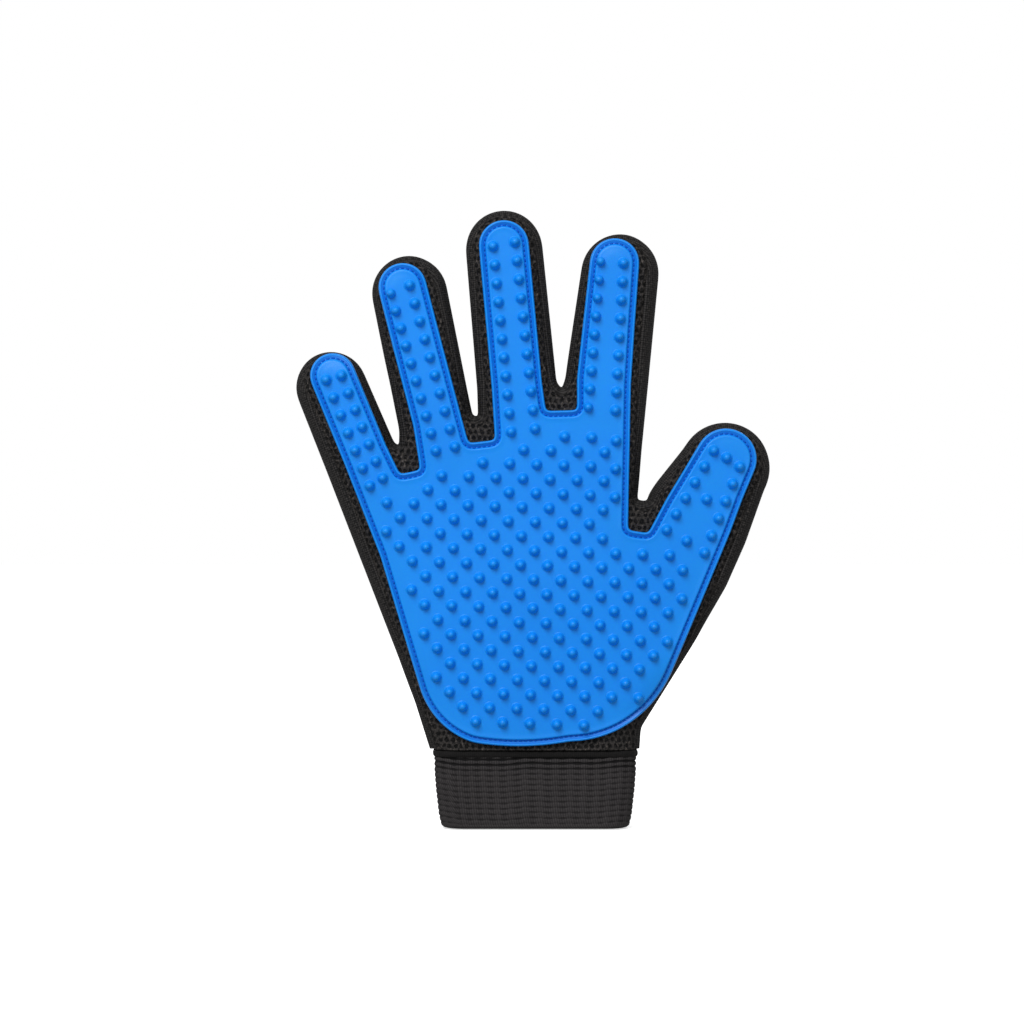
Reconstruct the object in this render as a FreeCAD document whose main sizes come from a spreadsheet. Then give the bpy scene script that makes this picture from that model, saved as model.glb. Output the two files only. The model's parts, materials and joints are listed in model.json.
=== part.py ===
import FreeCAD, Part
import os
import Sketcher
from FreeCAD import Placement, Rotation, Vector

# Pet grooming glove for a right hand, standing on its cuff with the fingers up.
# Millimetres. +Z runs from the cuff to the fingertips, +X points to the thumb side and
# -Y is the palm side, which carries the silicone pads with their rubber nubs.
# The origin is the centre of the wrist opening, on the bottom edge of the cuff.
#
# Every finger is a fabric tube: a mesh front, a knitted back and a gusset strip between them,
# with a silicone pad sewn on the front. A finger flexes at its knuckle and at its middle joint,
# so each of its pieces is in two lengths that meet at the joint plane.

os.makedirs("parts", exist_ok=True)
doc = FreeCAD.newDocument("grooming_glove")
dims = doc.addObject("Spreadsheet::Sheet", "Dims")

SHARED = {
    "front_face": -13.5,        # y of the palm-side fabric face, which carries the pads
    "fabric": 1.2,              # thickness of the mesh, knit and gusset fabric
    "seam_gap": 0.15,           # clearance on each side of a joint plane
    "proximal_depth": 20.0,     # outside depth of a finger below its middle joint
    "distal_depth": 18.0,       # outside depth of a finger above its middle joint
    "pad_thick": 2.0,
    "nub_radius": 1.85,
    "nub_height": 3.3,
    "nub_taper": -11.0,         # draft of the nub's side, which narrows it to a blunt tip
    "wrist_level": 28.0,        # height of the seam between the cuff and the palm
    "hem_left": -37.6,
    "hem_right": 37.1,
    "back_at_wrist": 13.5,      # y of the outside of the palm's back at the wrist seam
    "back_slope": 3.6,          # the back leans towards the fingertips by this many degrees
    "cuff_half_top": 36.1,
    "cuff_half_bottom": 33.5,
    "cuff_depth_top": 12.5,
    "cuff_depth_bottom": 12.5,
    "cuff_corner": 8.0,
    "cuff_wall": 1.8,
    "hem_height": 3.0,
    "tape_height": 2.4,
    "tape_thick": 0.8,
    "strap_hinge": -18.0,       # x of the fold where the strap leaves its sewn base
    "strap_end": 25.0,
    "strap_bottom": 4.5,
    "strap_width": 19.0,
    "strap_thick": 1.2,
    "patch_thick": 0.8,
    "loop_start": -8.0,
    "hook_start": 5.0,
    "patch_margin": 1.5,
    "base_length": 7.0,
    "nub_inset": 4.8,           # how far a nub of the lattice stays inside the pad's edge
    "row_clearance": 7.7,       # and how far from the nubs of the finger rows
    "lattice_x": -5.61,         # one nub of the palm's lattice
    "lattice_z": 83.81,
    "lattice_row_x": 9.565,     # step along a row of the lattice
    "lattice_row_z": -0.322,
    "lattice_next_x": 4.646,    # step to the next row
    "lattice_next_z": -5.252,
    "thumb_rows_end": -11.5,    # the thumb's own nubs reach this far below its knuckle
}

# Finger: x and z of the knuckle, tilt from upright, knuckle to centre of the rounded tip,
# knuckle to middle joint, half-width at the knuckle and at the tip.
FINGER_FIELDS = ("root_x", "root_z", "tilt", "reach", "mid", "half_root", "half_tip")
FINGERS = {
    "little": (-62.6, 132.2, -22.5, 26.9, 19.3, 13.0, 12.5),
    "ring": (-35.6, 144.55, -11.3, 46.95, 25.6, 13.25, 13.25),
    "middle": (-6.6, 157.8, -5.3, 48.7, 26.6, 14.15, 13.6),
    "index": (25.5, 158.7, 7.0, 39.4, 19.4, 14.75, 13.7),
    "thumb": (58.0, 110.7, 29.0, 20.1, 13.1, 19.4, 16.0),
}

# Silicone pad of a finger: its left and right edges at the knuckle and at the tip, measured
# from the finger's centre line, and the height of its rounded tip's centre above the knuckle.
PAD_FIELDS = ("pad_root_left", "pad_root_right", "pad_tip_left", "pad_tip_right", "pad_reach")
PADS = {
    "little": (-5.7, 10.5, -5.6, 10.5, 30.2),
    "ring": (-7.85, 9.55, -10.55, 6.65, 49.1),
    "middle": (-9.0, 8.95, -8.9, 8.85, 49.6),
    "index": (-10.9, 8.4, -11.4, 6.1, 42.3),
    "thumb": (-13.4, 12.3, -12.6, 9.2, 22.7),
}

# Rows of nubs: height of the first nub above the knuckle, pitch, number of nubs, and the
# row's distance from the centre line at its first nub and at its last one.
ROW_FIELDS = ("first", "pitch", "count", "start", "end")
ROWS = {
    "little_left": (29.5, 6.75, 7, -0.2, -0.3),
    "little_right": (28.8, 6.5, 7, 5.4, 5.0),
    "ring_left": (47.6, 6.41, 10, -6.4, -1.7),
    "ring_right": (49.1, 6.57, 10, 0.7, 5.2),
    "middle_left": (49.4, 6.59, 11, -3.95, -3.65),
    "middle_right": (50.2, 6.64, 11, 3.95, 4.9),
    "index_left": (41.9, 6.46, 9, -7.7, -5.7),
    "index_right": (42.3, 6.5, 9, 0.4, 3.95),
    "thumb_left": (23.1, 6.52, 6, -7.1, -8.1),
    "thumb_right": (22.6, 6.54, 6, 3.7, 7.6),
    "thumb_centre": (23.1, 16.25, 3, -1.9, 0.0),
}

# Short rows of nubs squeezed in between the palm's lattice and the pad's edge: x and z of the
# first nub, the step to the next one, and their number.
EDGE_FIELDS = ("x", "z", "step_x", "step_z", "count")
EDGE_ROWS = {
    "web_side": (28.5, 137.9, -0.2, -10.0, 3),
}

# Points of the palm's outline and of its pad, as x and z.
PALM_POINTS = {
    "side_lower": (-42.9, 45.0),
    "crotch_little": (-48.7, 136.0),
    "crotch_ring": (-20.4, 146.5),
    "crotch_middle": (9.5, 156.5),
    "web_left": (36.2, 116.9),
    "web_right": (40.4, 116.3),
    "heel_upper": (68.2, 86.0),
    "heel_middle": (58.0, 68.3),
    "heel_lower": (37.6, 35.5),
    "notch_little_left": (-48.0, 126.0),
    "notch_little_right": (-40.9, 127.5),
    "notch_ring_left": (-23.7, 137.0),
    "notch_ring_right": (-14.4, 138.1),
    "notch_middle_left": (3.7, 148.4),
    "notch_middle_right": (14.7, 148.7),
    "notch_web_left": (32.8, 106.2),
    "notch_web_right": (39.9, 105.1),
    "pad_side_left": (-55.0, 97.0),
    "pad_heel_left": (-41.3, 51.2),
    "pad_curve_left": (-34.5, 38.8),
    "pad_base_left": (-22.0, 30.9),
    "pad_lowest": (-6.0, 29.6),
    "pad_base_right": (12.0, 31.3),
    "pad_curve_right": (34.3, 38.4),
    "pad_heel_right": (48.7, 56.6),
}


def fill_sheet():
    cells = dict(SHARED)
    tables = ((FINGERS, FINGER_FIELDS), (PADS, PAD_FIELDS), (ROWS, ROW_FIELDS), (EDGE_ROWS, EDGE_FIELDS))
    for table, fields in tables:
        for name, values in table.items():
            for field, value in zip(fields, values):
                cells[f"{name}_{field}"] = value
    for name, (x, z) in PALM_POINTS.items():
        cells[f"{name}_x"] = x
        cells[f"{name}_z"] = z
    for row, (alias, value) in enumerate(cells.items(), start=1):
        dims.set(f"A{row}", alias)
        dims.set(f"B{row}", str(value))
        dims.setAlias(f"B{row}", alias)


fill_sheet()
doc.recompute()


def value(expression):
    """The number that an expression on the sheet stands for."""
    return float(dims.evalExpression(expression))


def cell(name):
    return value(f"Dims.{name}")


# ---------------------------------------------------------------- sketching helpers

def origin_plane(body, role):
    for feature in body.Origin.OriginFeatures:
        if feature.Role == role:
            return feature
    raise ValueError(role)


def new_body(label):
    body = doc.addObject("PartDesign::Body", label)
    body.Label = label
    body.AllowCompound = True
    return body


def new_sketch(body, name, role="XZ_Plane", lift="0"):
    """A sketch on one of the body's origin planes, lifted along the plane's normal."""
    sketch = body.newObject("Sketcher::SketchObject", f"{body.Label}_{name}")
    sketch.AttachmentSupport = (origin_plane(body, role), [""])
    sketch.MapMode = "FlatFace"
    if lift != "0":
        sketch.setExpression("AttachmentOffset.Base.z", lift)
    return sketch


def bind(sketch, kind, geometry, point, expression):
    """Fix one coordinate or size of the sketch to an expression on the sheet."""
    number = value(expression)
    if point is None:
        constraint = Sketcher.Constraint(kind, geometry, number)
    else:
        constraint = Sketcher.Constraint(kind, geometry, point, number)
    index = sketch.addConstraint(constraint)
    sketch.setExpression(f"Constraints[{index}]", expression)


def draw_loop(sketch, points, arcs=None):
    """A closed loop through points, each a pair of expressions.

    arcs maps the number of an edge to its centre's expressions, the coordinate of the centre
    that is held, and +1 for a counter-clockwise arc or -1 for a clockwise one.
    """
    arcs = arcs or {}
    spots = [Vector(value(x), value(y), 0) for x, y in points]
    ends = []
    for number, start in enumerate(spots):
        stop = spots[(number + 1) % len(spots)]
        if number not in arcs:
            geometry = sketch.addGeometry(Part.LineSegment(start, stop))
            ends.append((geometry, 1, 2))
            continue
        centre_x, centre_y, held, sense = arcs[number]
        centre = Vector(value(centre_x), value(centre_y), 0)
        first, last = (start, stop) if sense > 0 else (stop, start)
        circle = Part.Circle(centre, Vector(0, 0, 1), (first - centre).Length)
        arc = Part.ArcOfCircle(circle, circle.parameter(first), circle.parameter(last))
        geometry = sketch.addGeometry(arc)
        ends.append((geometry, 1, 2) if sense > 0 else (geometry, 2, 1))
        if held == "x":
            bind(sketch, "DistanceX", geometry, 3, centre_x)
        else:
            bind(sketch, "DistanceY", geometry, 3, centre_y)
    for number, (geometry, start_point, _) in enumerate(ends):
        previous, _, end_point = ends[number - 1]
        join = Sketcher.Constraint("Coincident", previous, end_point, geometry, start_point)
        sketch.addConstraint(join)
        bind(sketch, "DistanceX", geometry, start_point, points[number][0])
        bind(sketch, "DistanceY", geometry, start_point, points[number][1])


def pad_up(body, sketch, name, length, taper=None):
    """Pad a sketch along its normal by a length from the sheet."""
    pad = body.newObject("PartDesign::Pad", f"{body.Label}_{name}")
    pad.Profile = sketch
    pad.setExpression("Length", length)
    if taper:
        pad.setExpression("TaperAngle", taper)
    sketch.Visibility = False
    return pad


def place(obj, x="0", y="0", z="0", turn_axis=None, turn=None):
    """Place an object from the sheet, turned about one axis."""
    if turn_axis is not None:
        obj.Placement = Placement(Vector(), Rotation(turn_axis, value(turn)))
        obj.setExpression("Placement.Rotation.Angle", turn)
    obj.setExpression("Placement.Base.x", x)
    obj.setExpression("Placement.Base.y", y)
    obj.setExpression("Placement.Base.z", z)


# ---------------------------------------------------------------- fingers

FINGER_NAMES = tuple(FINGERS)
SEGMENTS = ("proximal", "distal")


def between(root, tip, height, finger):
    """A width at a height above the knuckle, taken straight from the knuckle to the tip."""
    return f"({root} + ({tip} - {root}) * ({height}) / Dims.{finger}_reach)"


def edge(finger, side, height):
    """Outer edge of the finger's fabric on one side, at a height above the knuckle."""
    sign = "-" if side == "left" else ""
    width = between(f"Dims.{finger}_half_root", f"Dims.{finger}_half_tip", height, finger)
    return f"{sign}{width}"


def pad_edge(finger, side, height):
    return between(f"Dims.{finger}_pad_root_{side}", f"Dims.{finger}_pad_tip_{side}", height, finger)


def segment_ends(finger, segment):
    """Heights at which a segment starts and stops, clear of the joint planes."""
    if segment == "proximal":
        return "Dims.seam_gap", f"(Dims.{finger}_mid - Dims.seam_gap)"
    return f"(Dims.{finger}_mid + Dims.seam_gap)", f"Dims.{finger}_reach"


def segment_outline(sketch, finger, segment):
    """A finger segment seen from the front: straight sides, and a round tip on the last one."""
    low, high = segment_ends(finger, segment)
    points = [
        (edge(finger, "left", low), low),
        (edge(finger, "right", low), low),
        (edge(finger, "right", high), high),
        (edge(finger, "left", high), high),
    ]
    arcs = {2: ("0", high, "y", 1)} if segment == "distal" else None
    draw_loop(sketch, points, arcs)


def gusset_outline(sketch, finger, segment):
    """The gusset strip's edge: two side strips, joined round the fingertip on the last one."""
    low, high = segment_ends(finger, segment)
    wall = "Dims.fabric"
    left_low, right_low = edge(finger, "left", low), edge(finger, "right", low)
    left_high, right_high = edge(finger, "left", high), edge(finger, "right", high)
    if segment == "proximal":
        for outer_low, outer_high, sign in ((left_low, left_high, "+"), (right_low, right_high, "-")):
            draw_loop(sketch, [
                (outer_low, low),
                (f"{outer_low} {sign} {wall}", low),
                (f"{outer_high} {sign} {wall}", high),
                (outer_high, high),
            ])
        return
    points = [
        (right_low, low),
        (right_high, high),
        (left_high, high),
        (left_low, low),
        (f"{left_low} + {wall}", low),
        (f"{left_high} + {wall}", high),
        (f"{right_high} - {wall}", high),
        (f"{right_low} - {wall}", low),
    ]
    draw_loop(sketch, points, {1: ("0", high, "y", 1), 5: ("0", high, "y", -1)})


def finger_placed(body, finger, y):
    place(body, f"Dims.{finger}_root_x", y, f"Dims.{finger}_root_z", Vector(0, 1, 0), f"Dims.{finger}_tilt")


def fabric_segment(finger, segment, side):
    """The mesh front or the knitted back of one finger segment."""
    body = new_body(f"{finger}_{segment}_{side}")
    sketch = new_sketch(body, "outline")
    segment_outline(sketch, finger, segment)
    pad_up(body, sketch, "sheet", "Dims.fabric")
    depth = "Dims.fabric" if side == "front" else f"Dims.{segment}_depth"
    finger_placed(body, finger, f"Dims.front_face + {depth}")
    return body


def gusset_segment(finger, segment):
    body = new_body(f"{finger}_{segment}_gusset")
    sketch = new_sketch(body, "edges")
    gusset_outline(sketch, finger, segment)
    pad_up(body, sketch, "strip", f"Dims.{segment}_depth - 2 * Dims.fabric")
    finger_placed(body, finger, f"Dims.front_face + Dims.{segment}_depth - Dims.fabric")
    return body


def row_nubs(finger):
    """Every nub of a finger's own rows: expressions for its offset and its height."""
    spots = []
    for row in ROWS:
        if not row.startswith(f"{finger}_"):
            continue
        count = int(cell(f"{row}_count"))
        for number in range(count):
            share = number / (count - 1)
            offset = f"Dims.{row}_start + (Dims.{row}_end - Dims.{row}_start) * {share}"
            height = f"Dims.{row}_first - {number} * Dims.{row}_pitch"
            spots.append((offset, height))
    return spots


def pad_segment(finger, segment):
    """A finger's silicone pad with the nubs that stand on this segment."""
    low, high = segment_ends(finger, segment)
    body = new_body(f"{finger}_{segment}_pad")
    sheet = new_sketch(body, "outline")
    top = high if segment == "proximal" else f"Dims.{finger}_pad_reach"
    points = [
        (pad_edge(finger, "left", low), low),
        (pad_edge(finger, "right", low), low),
        (pad_edge(finger, "right", high), top),
        (pad_edge(finger, "left", high), top),
    ]
    centre = f"(Dims.{finger}_pad_tip_left + Dims.{finger}_pad_tip_right) / 2"
    arcs = {2: (centre, top, "y", 1)} if segment == "distal" else None
    draw_loop(sheet, points, arcs)
    pad_up(body, sheet, "sheet", "Dims.pad_thick")
    nubs = new_sketch(body, "nubs", lift="Dims.pad_thick")
    for offset, height in row_nubs(finger):
        above_mid = value(height) > cell(f"{finger}_mid")
        if value(height) < 0 or above_mid != (segment == "distal"):
            continue
        spot = Vector(value(offset), value(height), 0)
        circle = nubs.addGeometry(Part.Circle(spot, Vector(0, 0, 1), cell("nub_radius")))
        bind(nubs, "DistanceX", circle, 3, offset)
        bind(nubs, "DistanceY", circle, 3, height)
        bind(nubs, "Radius", circle, None, "Dims.nub_radius")
    pad_up(body, nubs, "nub_cones", "Dims.nub_height", "Dims.nub_taper")
    finger_placed(body, finger, "Dims.front_face")
    return body


# ---------------------------------------------------------------- palm

def knuckle(finger, offset, height):
    """Palm coordinates of a point given by its offset and height on a finger."""
    tilt = f"Dims.{finger}_tilt"
    x = f"Dims.{finger}_root_x + ({offset}) * cos({tilt}) + ({height}) * sin({tilt})"
    z = f"Dims.{finger}_root_z - ({offset}) * sin({tilt}) + ({height}) * cos({tilt})"
    return x, z


def palm_point(name):
    return f"Dims.{name}_x", f"Dims.{name}_z"


def root_corner(finger, side, inset="0"):
    sign = "-1" if side == "left" else "1"
    return knuckle(finger, f"{sign} * (Dims.{finger}_half_root - {inset})", "-Dims.seam_gap")


def shifted(point, x_step, z_step="0"):
    return f"{point[0]} + {x_step}", f"{point[1]} + {z_step}"


HEM_LEVEL = "Dims.wrist_level + Dims.seam_gap"
HEM_LEFT = ("Dims.hem_left", HEM_LEVEL)
HEM_RIGHT = ("Dims.hem_right", HEM_LEVEL)
CROTCHES = (("little", "ring"), ("ring", "middle"), ("middle", "index"))


def palm_outline():
    """The palm seen from the front, clockwise from the cuff's left end."""
    points = [HEM_LEFT, palm_point("side_lower")]
    points += [root_corner("little", "left"), root_corner("little", "right")]
    for below, above in CROTCHES:
        points.append(palm_point(f"crotch_{below}"))
        points.append(root_corner(above, "left"))
        points.append(root_corner(above, "right"))
    points.append(palm_point("web_left"))
    points.append(palm_point("web_right"))
    points.append(root_corner("thumb", "left"))
    points.append(root_corner("thumb", "right"))
    points.append(palm_point("heel_upper"))
    points.append(palm_point("heel_middle"))
    points.append(palm_point("heel_lower"))
    points.append(HEM_RIGHT)
    return points


def palm_front_panel():
    body = new_body("palm_front_panel")
    sketch = new_sketch(body, "outline")
    draw_loop(sketch, palm_outline())
    pad_up(body, sketch, "sheet", "Dims.fabric")
    place(body, y="Dims.front_face + Dims.fabric")
    return body


def palm_back_panel():
    """The knitted back, which leans forward from the wrist to the knuckles."""
    body = new_body("palm_back_panel")
    sketch = new_sketch(body, "outline")
    from_hem = [(x, f"{z} - Dims.wrist_level") for x, z in palm_outline()]
    draw_loop(sketch, from_hem)
    pad_up(body, sketch, "sheet", "Dims.fabric")
    place(body, y="Dims.back_at_wrist", z="Dims.wrist_level", turn_axis=Vector(1, 0, 0), turn="Dims.back_slope")
    return body


def side_wall(label, strips):
    """Gusset walls of the palm: strips from front to back, cut to the leaning back panel."""
    body = new_body(label)
    sketch = new_sketch(body, "strips", lift="-(Dims.back_at_wrist)")
    for strip in strips:
        draw_loop(sketch, strip)
    pad_up(body, sketch, "walls", "Dims.back_at_wrist - Dims.front_face - Dims.fabric")
    lean = "tan(Dims.back_slope)"
    inner = "Dims.back_at_wrist - Dims.fabric / cos(Dims.back_slope)"
    cut = new_sketch(body, "lean", role="YZ_Plane")
    far = "(Dims.back_at_wrist + 20)"
    top = "(Dims.middle_root_z + 20)"
    draw_loop(cut, [
        (f"{inner} + Dims.wrist_level * {lean}", "0"),
        (far, "0"),
        (far, top),
        (f"{inner} - ({top} - Dims.wrist_level) * {lean}", top),
    ])
    pocket = body.newObject("PartDesign::Pocket", f"{label}_lean_cut")
    pocket.Profile = cut
    pocket.Type = "ThroughAll"
    pocket.Midplane = True
    cut.Visibility = False
    return body


def palm_gussets():
    wall = "Dims.fabric"
    # The little finger's side, from the cuff to the knuckle.
    side = palm_point("side_lower")
    little_side = [
        HEM_LEFT,
        side,
        root_corner("little", "left"),
        root_corner("little", "left", wall),
        shifted(side, wall),
        shifted(HEM_LEFT, wall),
    ]
    side_wall("little_side_gusset", [little_side])
    # The thumb's side, from the knuckle down the heel of the hand to the cuff.
    outer = [
        root_corner("thumb", "right"),
        palm_point("heel_upper"),
        palm_point("heel_middle"),
        palm_point("heel_lower"),
        HEM_RIGHT,
    ]
    inner = [root_corner("thumb", "right", wall)]
    inner += [shifted(point, f"-1.15 * {wall}") for point in outer[1:]]
    side_wall("thumb_side_gusset", [outer + inner[::-1]])
    # The web between the index finger and the thumb.
    web_left, web_right = palm_point("web_left"), palm_point("web_right")
    web_loop = [
        root_corner("index", "right"),
        web_left,
        web_right,
        root_corner("thumb", "left"),
        root_corner("thumb", "left", wall),
        shifted(web_right, f"0.7 * {wall}", f"-{wall}"),
        shifted(web_left, f"-{wall}", f"-{wall}"),
        root_corner("index", "right", wall),
    ]
    side_wall("thumb_web_gusset", [web_loop])
    # The three crotches between the other fingers.
    strips = []
    for below, above in CROTCHES:
        low = palm_point(f"crotch_{below}")
        strips.append([
            root_corner(below, "right", wall),
            root_corner(below, "right"),
            low,
            root_corner(above, "left"),
            root_corner(above, "left", wall),
            shifted(low, "0", f"-1.2 * {wall}"),
        ])
    side_wall("finger_crotch_gussets", strips)


def palm_pad_face():
    """Outline of the palm's pad as a face in the XZ plane, with a round heel."""

    def spot(point):
        return Vector(value(point[0]), 0, value(point[1]))

    def root(finger, side):
        return spot(knuckle(finger, f"Dims.{finger}_pad_root_{side}", "-Dims.seam_gap"))

    path = [spot(palm_point("pad_heel_left")), spot(palm_point("pad_side_left"))]
    path += [root("little", "left"), root("little", "right")]
    for below, above in CROTCHES:
        path.append(spot(palm_point(f"notch_{below}_left")))
        path.append(spot(palm_point(f"notch_{below}_right")))
        path.append(root(above, "left"))
        path.append(root(above, "right"))
    path.append(spot(palm_point("notch_web_left")))
    path.append(spot(palm_point("notch_web_right")))
    path.append(root("thumb", "left"))
    path.append(root("thumb", "right"))
    path.append(spot(palm_point("pad_heel_right")))
    edges = [Part.LineSegment(a, b).toShape() for a, b in zip(path, path[1:])]
    heel = ("pad_heel_right", "pad_curve_right", "pad_base_right", "pad_lowest",
            "pad_base_left", "pad_curve_left", "pad_heel_left")
    for number in range(0, len(heel) - 1, 2):
        three = [spot(palm_point(name)) for name in heel[number:number + 3]]
        edges.append(Part.Arc(*three).toShape())
    return Part.Face(Part.Wire(edges))


def palm_nub_spots(face):
    """Nubs of the palm: the ends of the finger rows, the short edge rows and the lattice."""
    rim = face.OuterWire
    clearance = cell("nub_inset")
    spots = []
    for finger in FINGER_NAMES:
        for offset, height in row_nubs(finger):
            if value(height) < 0:
                x, z = knuckle(finger, offset, height)
                spots.append(Vector(value(x), 0, value(z)))
    row_spots = list(spots)
    for row in EDGE_ROWS:
        first = Vector(cell(f"{row}_x"), 0, cell(f"{row}_z"))
        step = Vector(cell(f"{row}_step_x"), 0, cell(f"{row}_step_z"))
        spots += [first + step * number for number in range(int(cell(f"{row}_count")))]
    start = Vector(cell("lattice_x"), 0, cell("lattice_z"))
    along = Vector(cell("lattice_row_x"), 0, cell("lattice_row_z"))
    next_row = Vector(cell("lattice_next_x"), 0, cell("lattice_next_z"))
    row_clearance = cell("row_clearance")
    thumb_root = Vector(cell("thumb_root_x"), 0, cell("thumb_root_z"))
    thumb_way = Rotation(Vector(0, 1, 0), cell("thumb_tilt")).multVec(Vector(0, 0, 1))
    span = range(-24, 25)
    for row in span:
        for column in span:
            spot = start + next_row * row + along * column
            near = [other for other in row_spots if (other - spot).Length < row_clearance]
            on_thumb = (spot - thumb_root).dot(thumb_way) > cell("thumb_rows_end")
            if near or (on_thumb and spot.x > cell("web_right_x")):
                continue
            if not face.isInside(spot, 0.01, True):
                continue
            if rim.distToShape(Part.Vertex(spot))[0] >= clearance:
                spots.append(spot)
    return spots


def palm_pad():
    """The palm's pad. Its lattice of nubs is clipped by its outline, so it is built directly."""
    face = palm_pad_face()
    thick = cell("pad_thick")
    towards = Vector(0, -1, 0)
    body = face.extrude(towards * thick)
    top_radius = cell("nub_radius") + cell("nub_height") * value("tan(Dims.nub_taper)")
    cones = []
    for spot in palm_nub_spots(face):
        base = spot + towards * thick
        cones.append(Part.makeCone(cell("nub_radius"), top_radius, cell("nub_height"), base, towards))
    pad = doc.addObject("Part::Feature", "palm_pad")
    pad.Label = "palm_pad"
    pad.Shape = body.fuse(cones)
    pad.Placement = Placement(Vector(0, cell("front_face"), 0), Rotation())
    return pad, len(cones)


# ---------------------------------------------------------------- cuff and strap

def rounded_loop(sketch, half, depth, corner):
    """A rectangle with round corners, counter-clockwise."""
    inner_x = f"({half} - {corner})"
    inner_y = f"({depth} - {corner})"
    points = [
        (f"-{inner_x}", f"-{depth}"),
        (inner_x, f"-{depth}"),
        (half, f"-{inner_y}"),
        (half, inner_y),
        (inner_x, depth),
        (f"-{inner_x}", depth),
        (f"-{half}", inner_y),
        (f"-{half}", f"-{inner_y}"),
    ]
    arcs = {
        1: (inner_x, f"-{inner_y}", "x", 1),
        3: (inner_x, inner_y, "x", 1),
        5: (f"-{inner_x}", inner_y, "x", 1),
        7: (f"-{inner_x}", f"-{inner_y}", "x", 1),
    }
    draw_loop(sketch, points, arcs)


def cuff_width(level):
    share = f"({level}) / Dims.wrist_level"
    return f"(Dims.cuff_half_bottom + (Dims.cuff_half_top - Dims.cuff_half_bottom) * {share})"


def cuff_reach(level):
    share = f"({level}) / Dims.wrist_level"
    return f"(Dims.cuff_depth_bottom + (Dims.cuff_depth_top - Dims.cuff_depth_bottom) * {share})"


def tube(label, low, high, outside, inside):
    """A tube that follows the cuff: outside and inside are distances from the cuff's surface."""
    body = new_body(label)
    for kind, grow in (("AdditiveLoft", outside), ("SubtractiveLoft", inside)):
        ends = []
        for end, level in (("low", low), ("high", high)):
            sketch = new_sketch(body, f"{kind}_{end}", role="XY_Plane", lift=level)
            half = f"({cuff_width(level)} + {grow})"
            depth = f"({cuff_reach(level)} + {grow})"
            rounded_loop(sketch, half, depth, f"(Dims.cuff_corner + {grow})")
            sketch.Visibility = False
            ends.append(sketch)
        doc.recompute()
        loft = body.newObject(f"PartDesign::{kind}", f"{label}_{kind}")
        loft.Profile = ends[0]
        loft.Sections = [ends[1]]
        loft.Ruled = True
    return body


def cuff():
    top = "(Dims.wrist_level - Dims.seam_gap)"
    tape_low = f"({top} - Dims.tape_height)"
    tube("cuff_band", "0.0", top, "0", "-Dims.cuff_wall")
    tube("wrist_seam_tape", tape_low, top, "Dims.tape_thick", "0")
    tube("cuff_hem_tape", "0.0", "Dims.hem_height", "-Dims.cuff_wall", "-(Dims.cuff_wall + Dims.tape_thick)")


def strap_box(label, x_low, x_high, y_low, y_high, margin="0"):
    """A flat piece of the strap, as high as the strap is wide less a margin."""
    box = doc.addObject("Part::Box", label)
    box.Label = label
    box.setExpression("Length", f"{x_high} - ({x_low})")
    box.setExpression("Width", f"{y_high} - ({y_low})")
    box.setExpression("Height", f"Dims.strap_width - 2 * ({margin})")
    place(box, x_low, y_low, f"Dims.strap_bottom + {margin}")
    return box


def strap():
    """The wrist strap on the back of the hand, with its hook and loop patches."""
    skin = "Dims.cuff_depth_top"
    loop_out = f"({skin} + Dims.patch_thick)"
    hook_in = f"({loop_out} + Dims.seam_gap)"
    tab_in = f"({hook_in} + Dims.patch_thick)"
    tab_out = f"({tab_in} + Dims.strap_thick)"
    hinge = "Dims.strap_hinge"
    strap_box("strap_base", f"{hinge} - Dims.base_length", hinge, skin, tab_out)
    strap_box("strap_tab", f"{hinge} + Dims.seam_gap", "Dims.strap_end", tab_in, tab_out)
    margin = "Dims.patch_margin"
    patch_end = f"Dims.strap_end - {margin}"
    strap_box("loop_patch", "Dims.loop_start", patch_end, skin, loop_out, margin)
    strap_box("hook_patch", "Dims.hook_start", patch_end, hook_in, tab_in, margin)


# ---------------------------------------------------------------- assembly and export

for finger_name in FINGER_NAMES:
    for segment_name in SEGMENTS:
        for face_name in ("front", "back"):
            fabric_segment(finger_name, segment_name, face_name)
        gusset_segment(finger_name, segment_name)
        pad_segment(finger_name, segment_name)
palm_front_panel()
palm_back_panel()
palm_gussets()
_, palm_nub_count = palm_pad()
cuff()
strap()
doc.recompute()

TOP_TYPES = ("PartDesign::Body", "Part::Box", "Part::Feature")


def nodes():
    inside = set()
    for obj in doc.Objects:
        if obj.TypeId == "PartDesign::Body":
            inside.update(member.Name for member in obj.Group)
    return [obj for obj in doc.Objects if obj.TypeId in TOP_TYPES and obj.Name not in inside]


for obj in doc.Objects:
    if "Invalid" in obj.State or "Error" in obj.State:
        raise RuntimeError(f"{obj.Label} failed: {obj.State}")
for node in nodes():
    if node.Shape.isNull() or not node.Shape.isValid() or node.Shape.Volume <= 0:
        raise RuntimeError(f"{node.Label} has no valid shape")
for node in nodes():
    node.Shape.exportStep(f"parts/{node.Label}.step")
print(len(nodes()), "nodes,", palm_nub_count, "palm nubs")
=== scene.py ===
import json
import math
import random
import bmesh
import bpy
import numpy as np
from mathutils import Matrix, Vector
from mathutils.geometry import delaunay_2d_cdt


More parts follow.
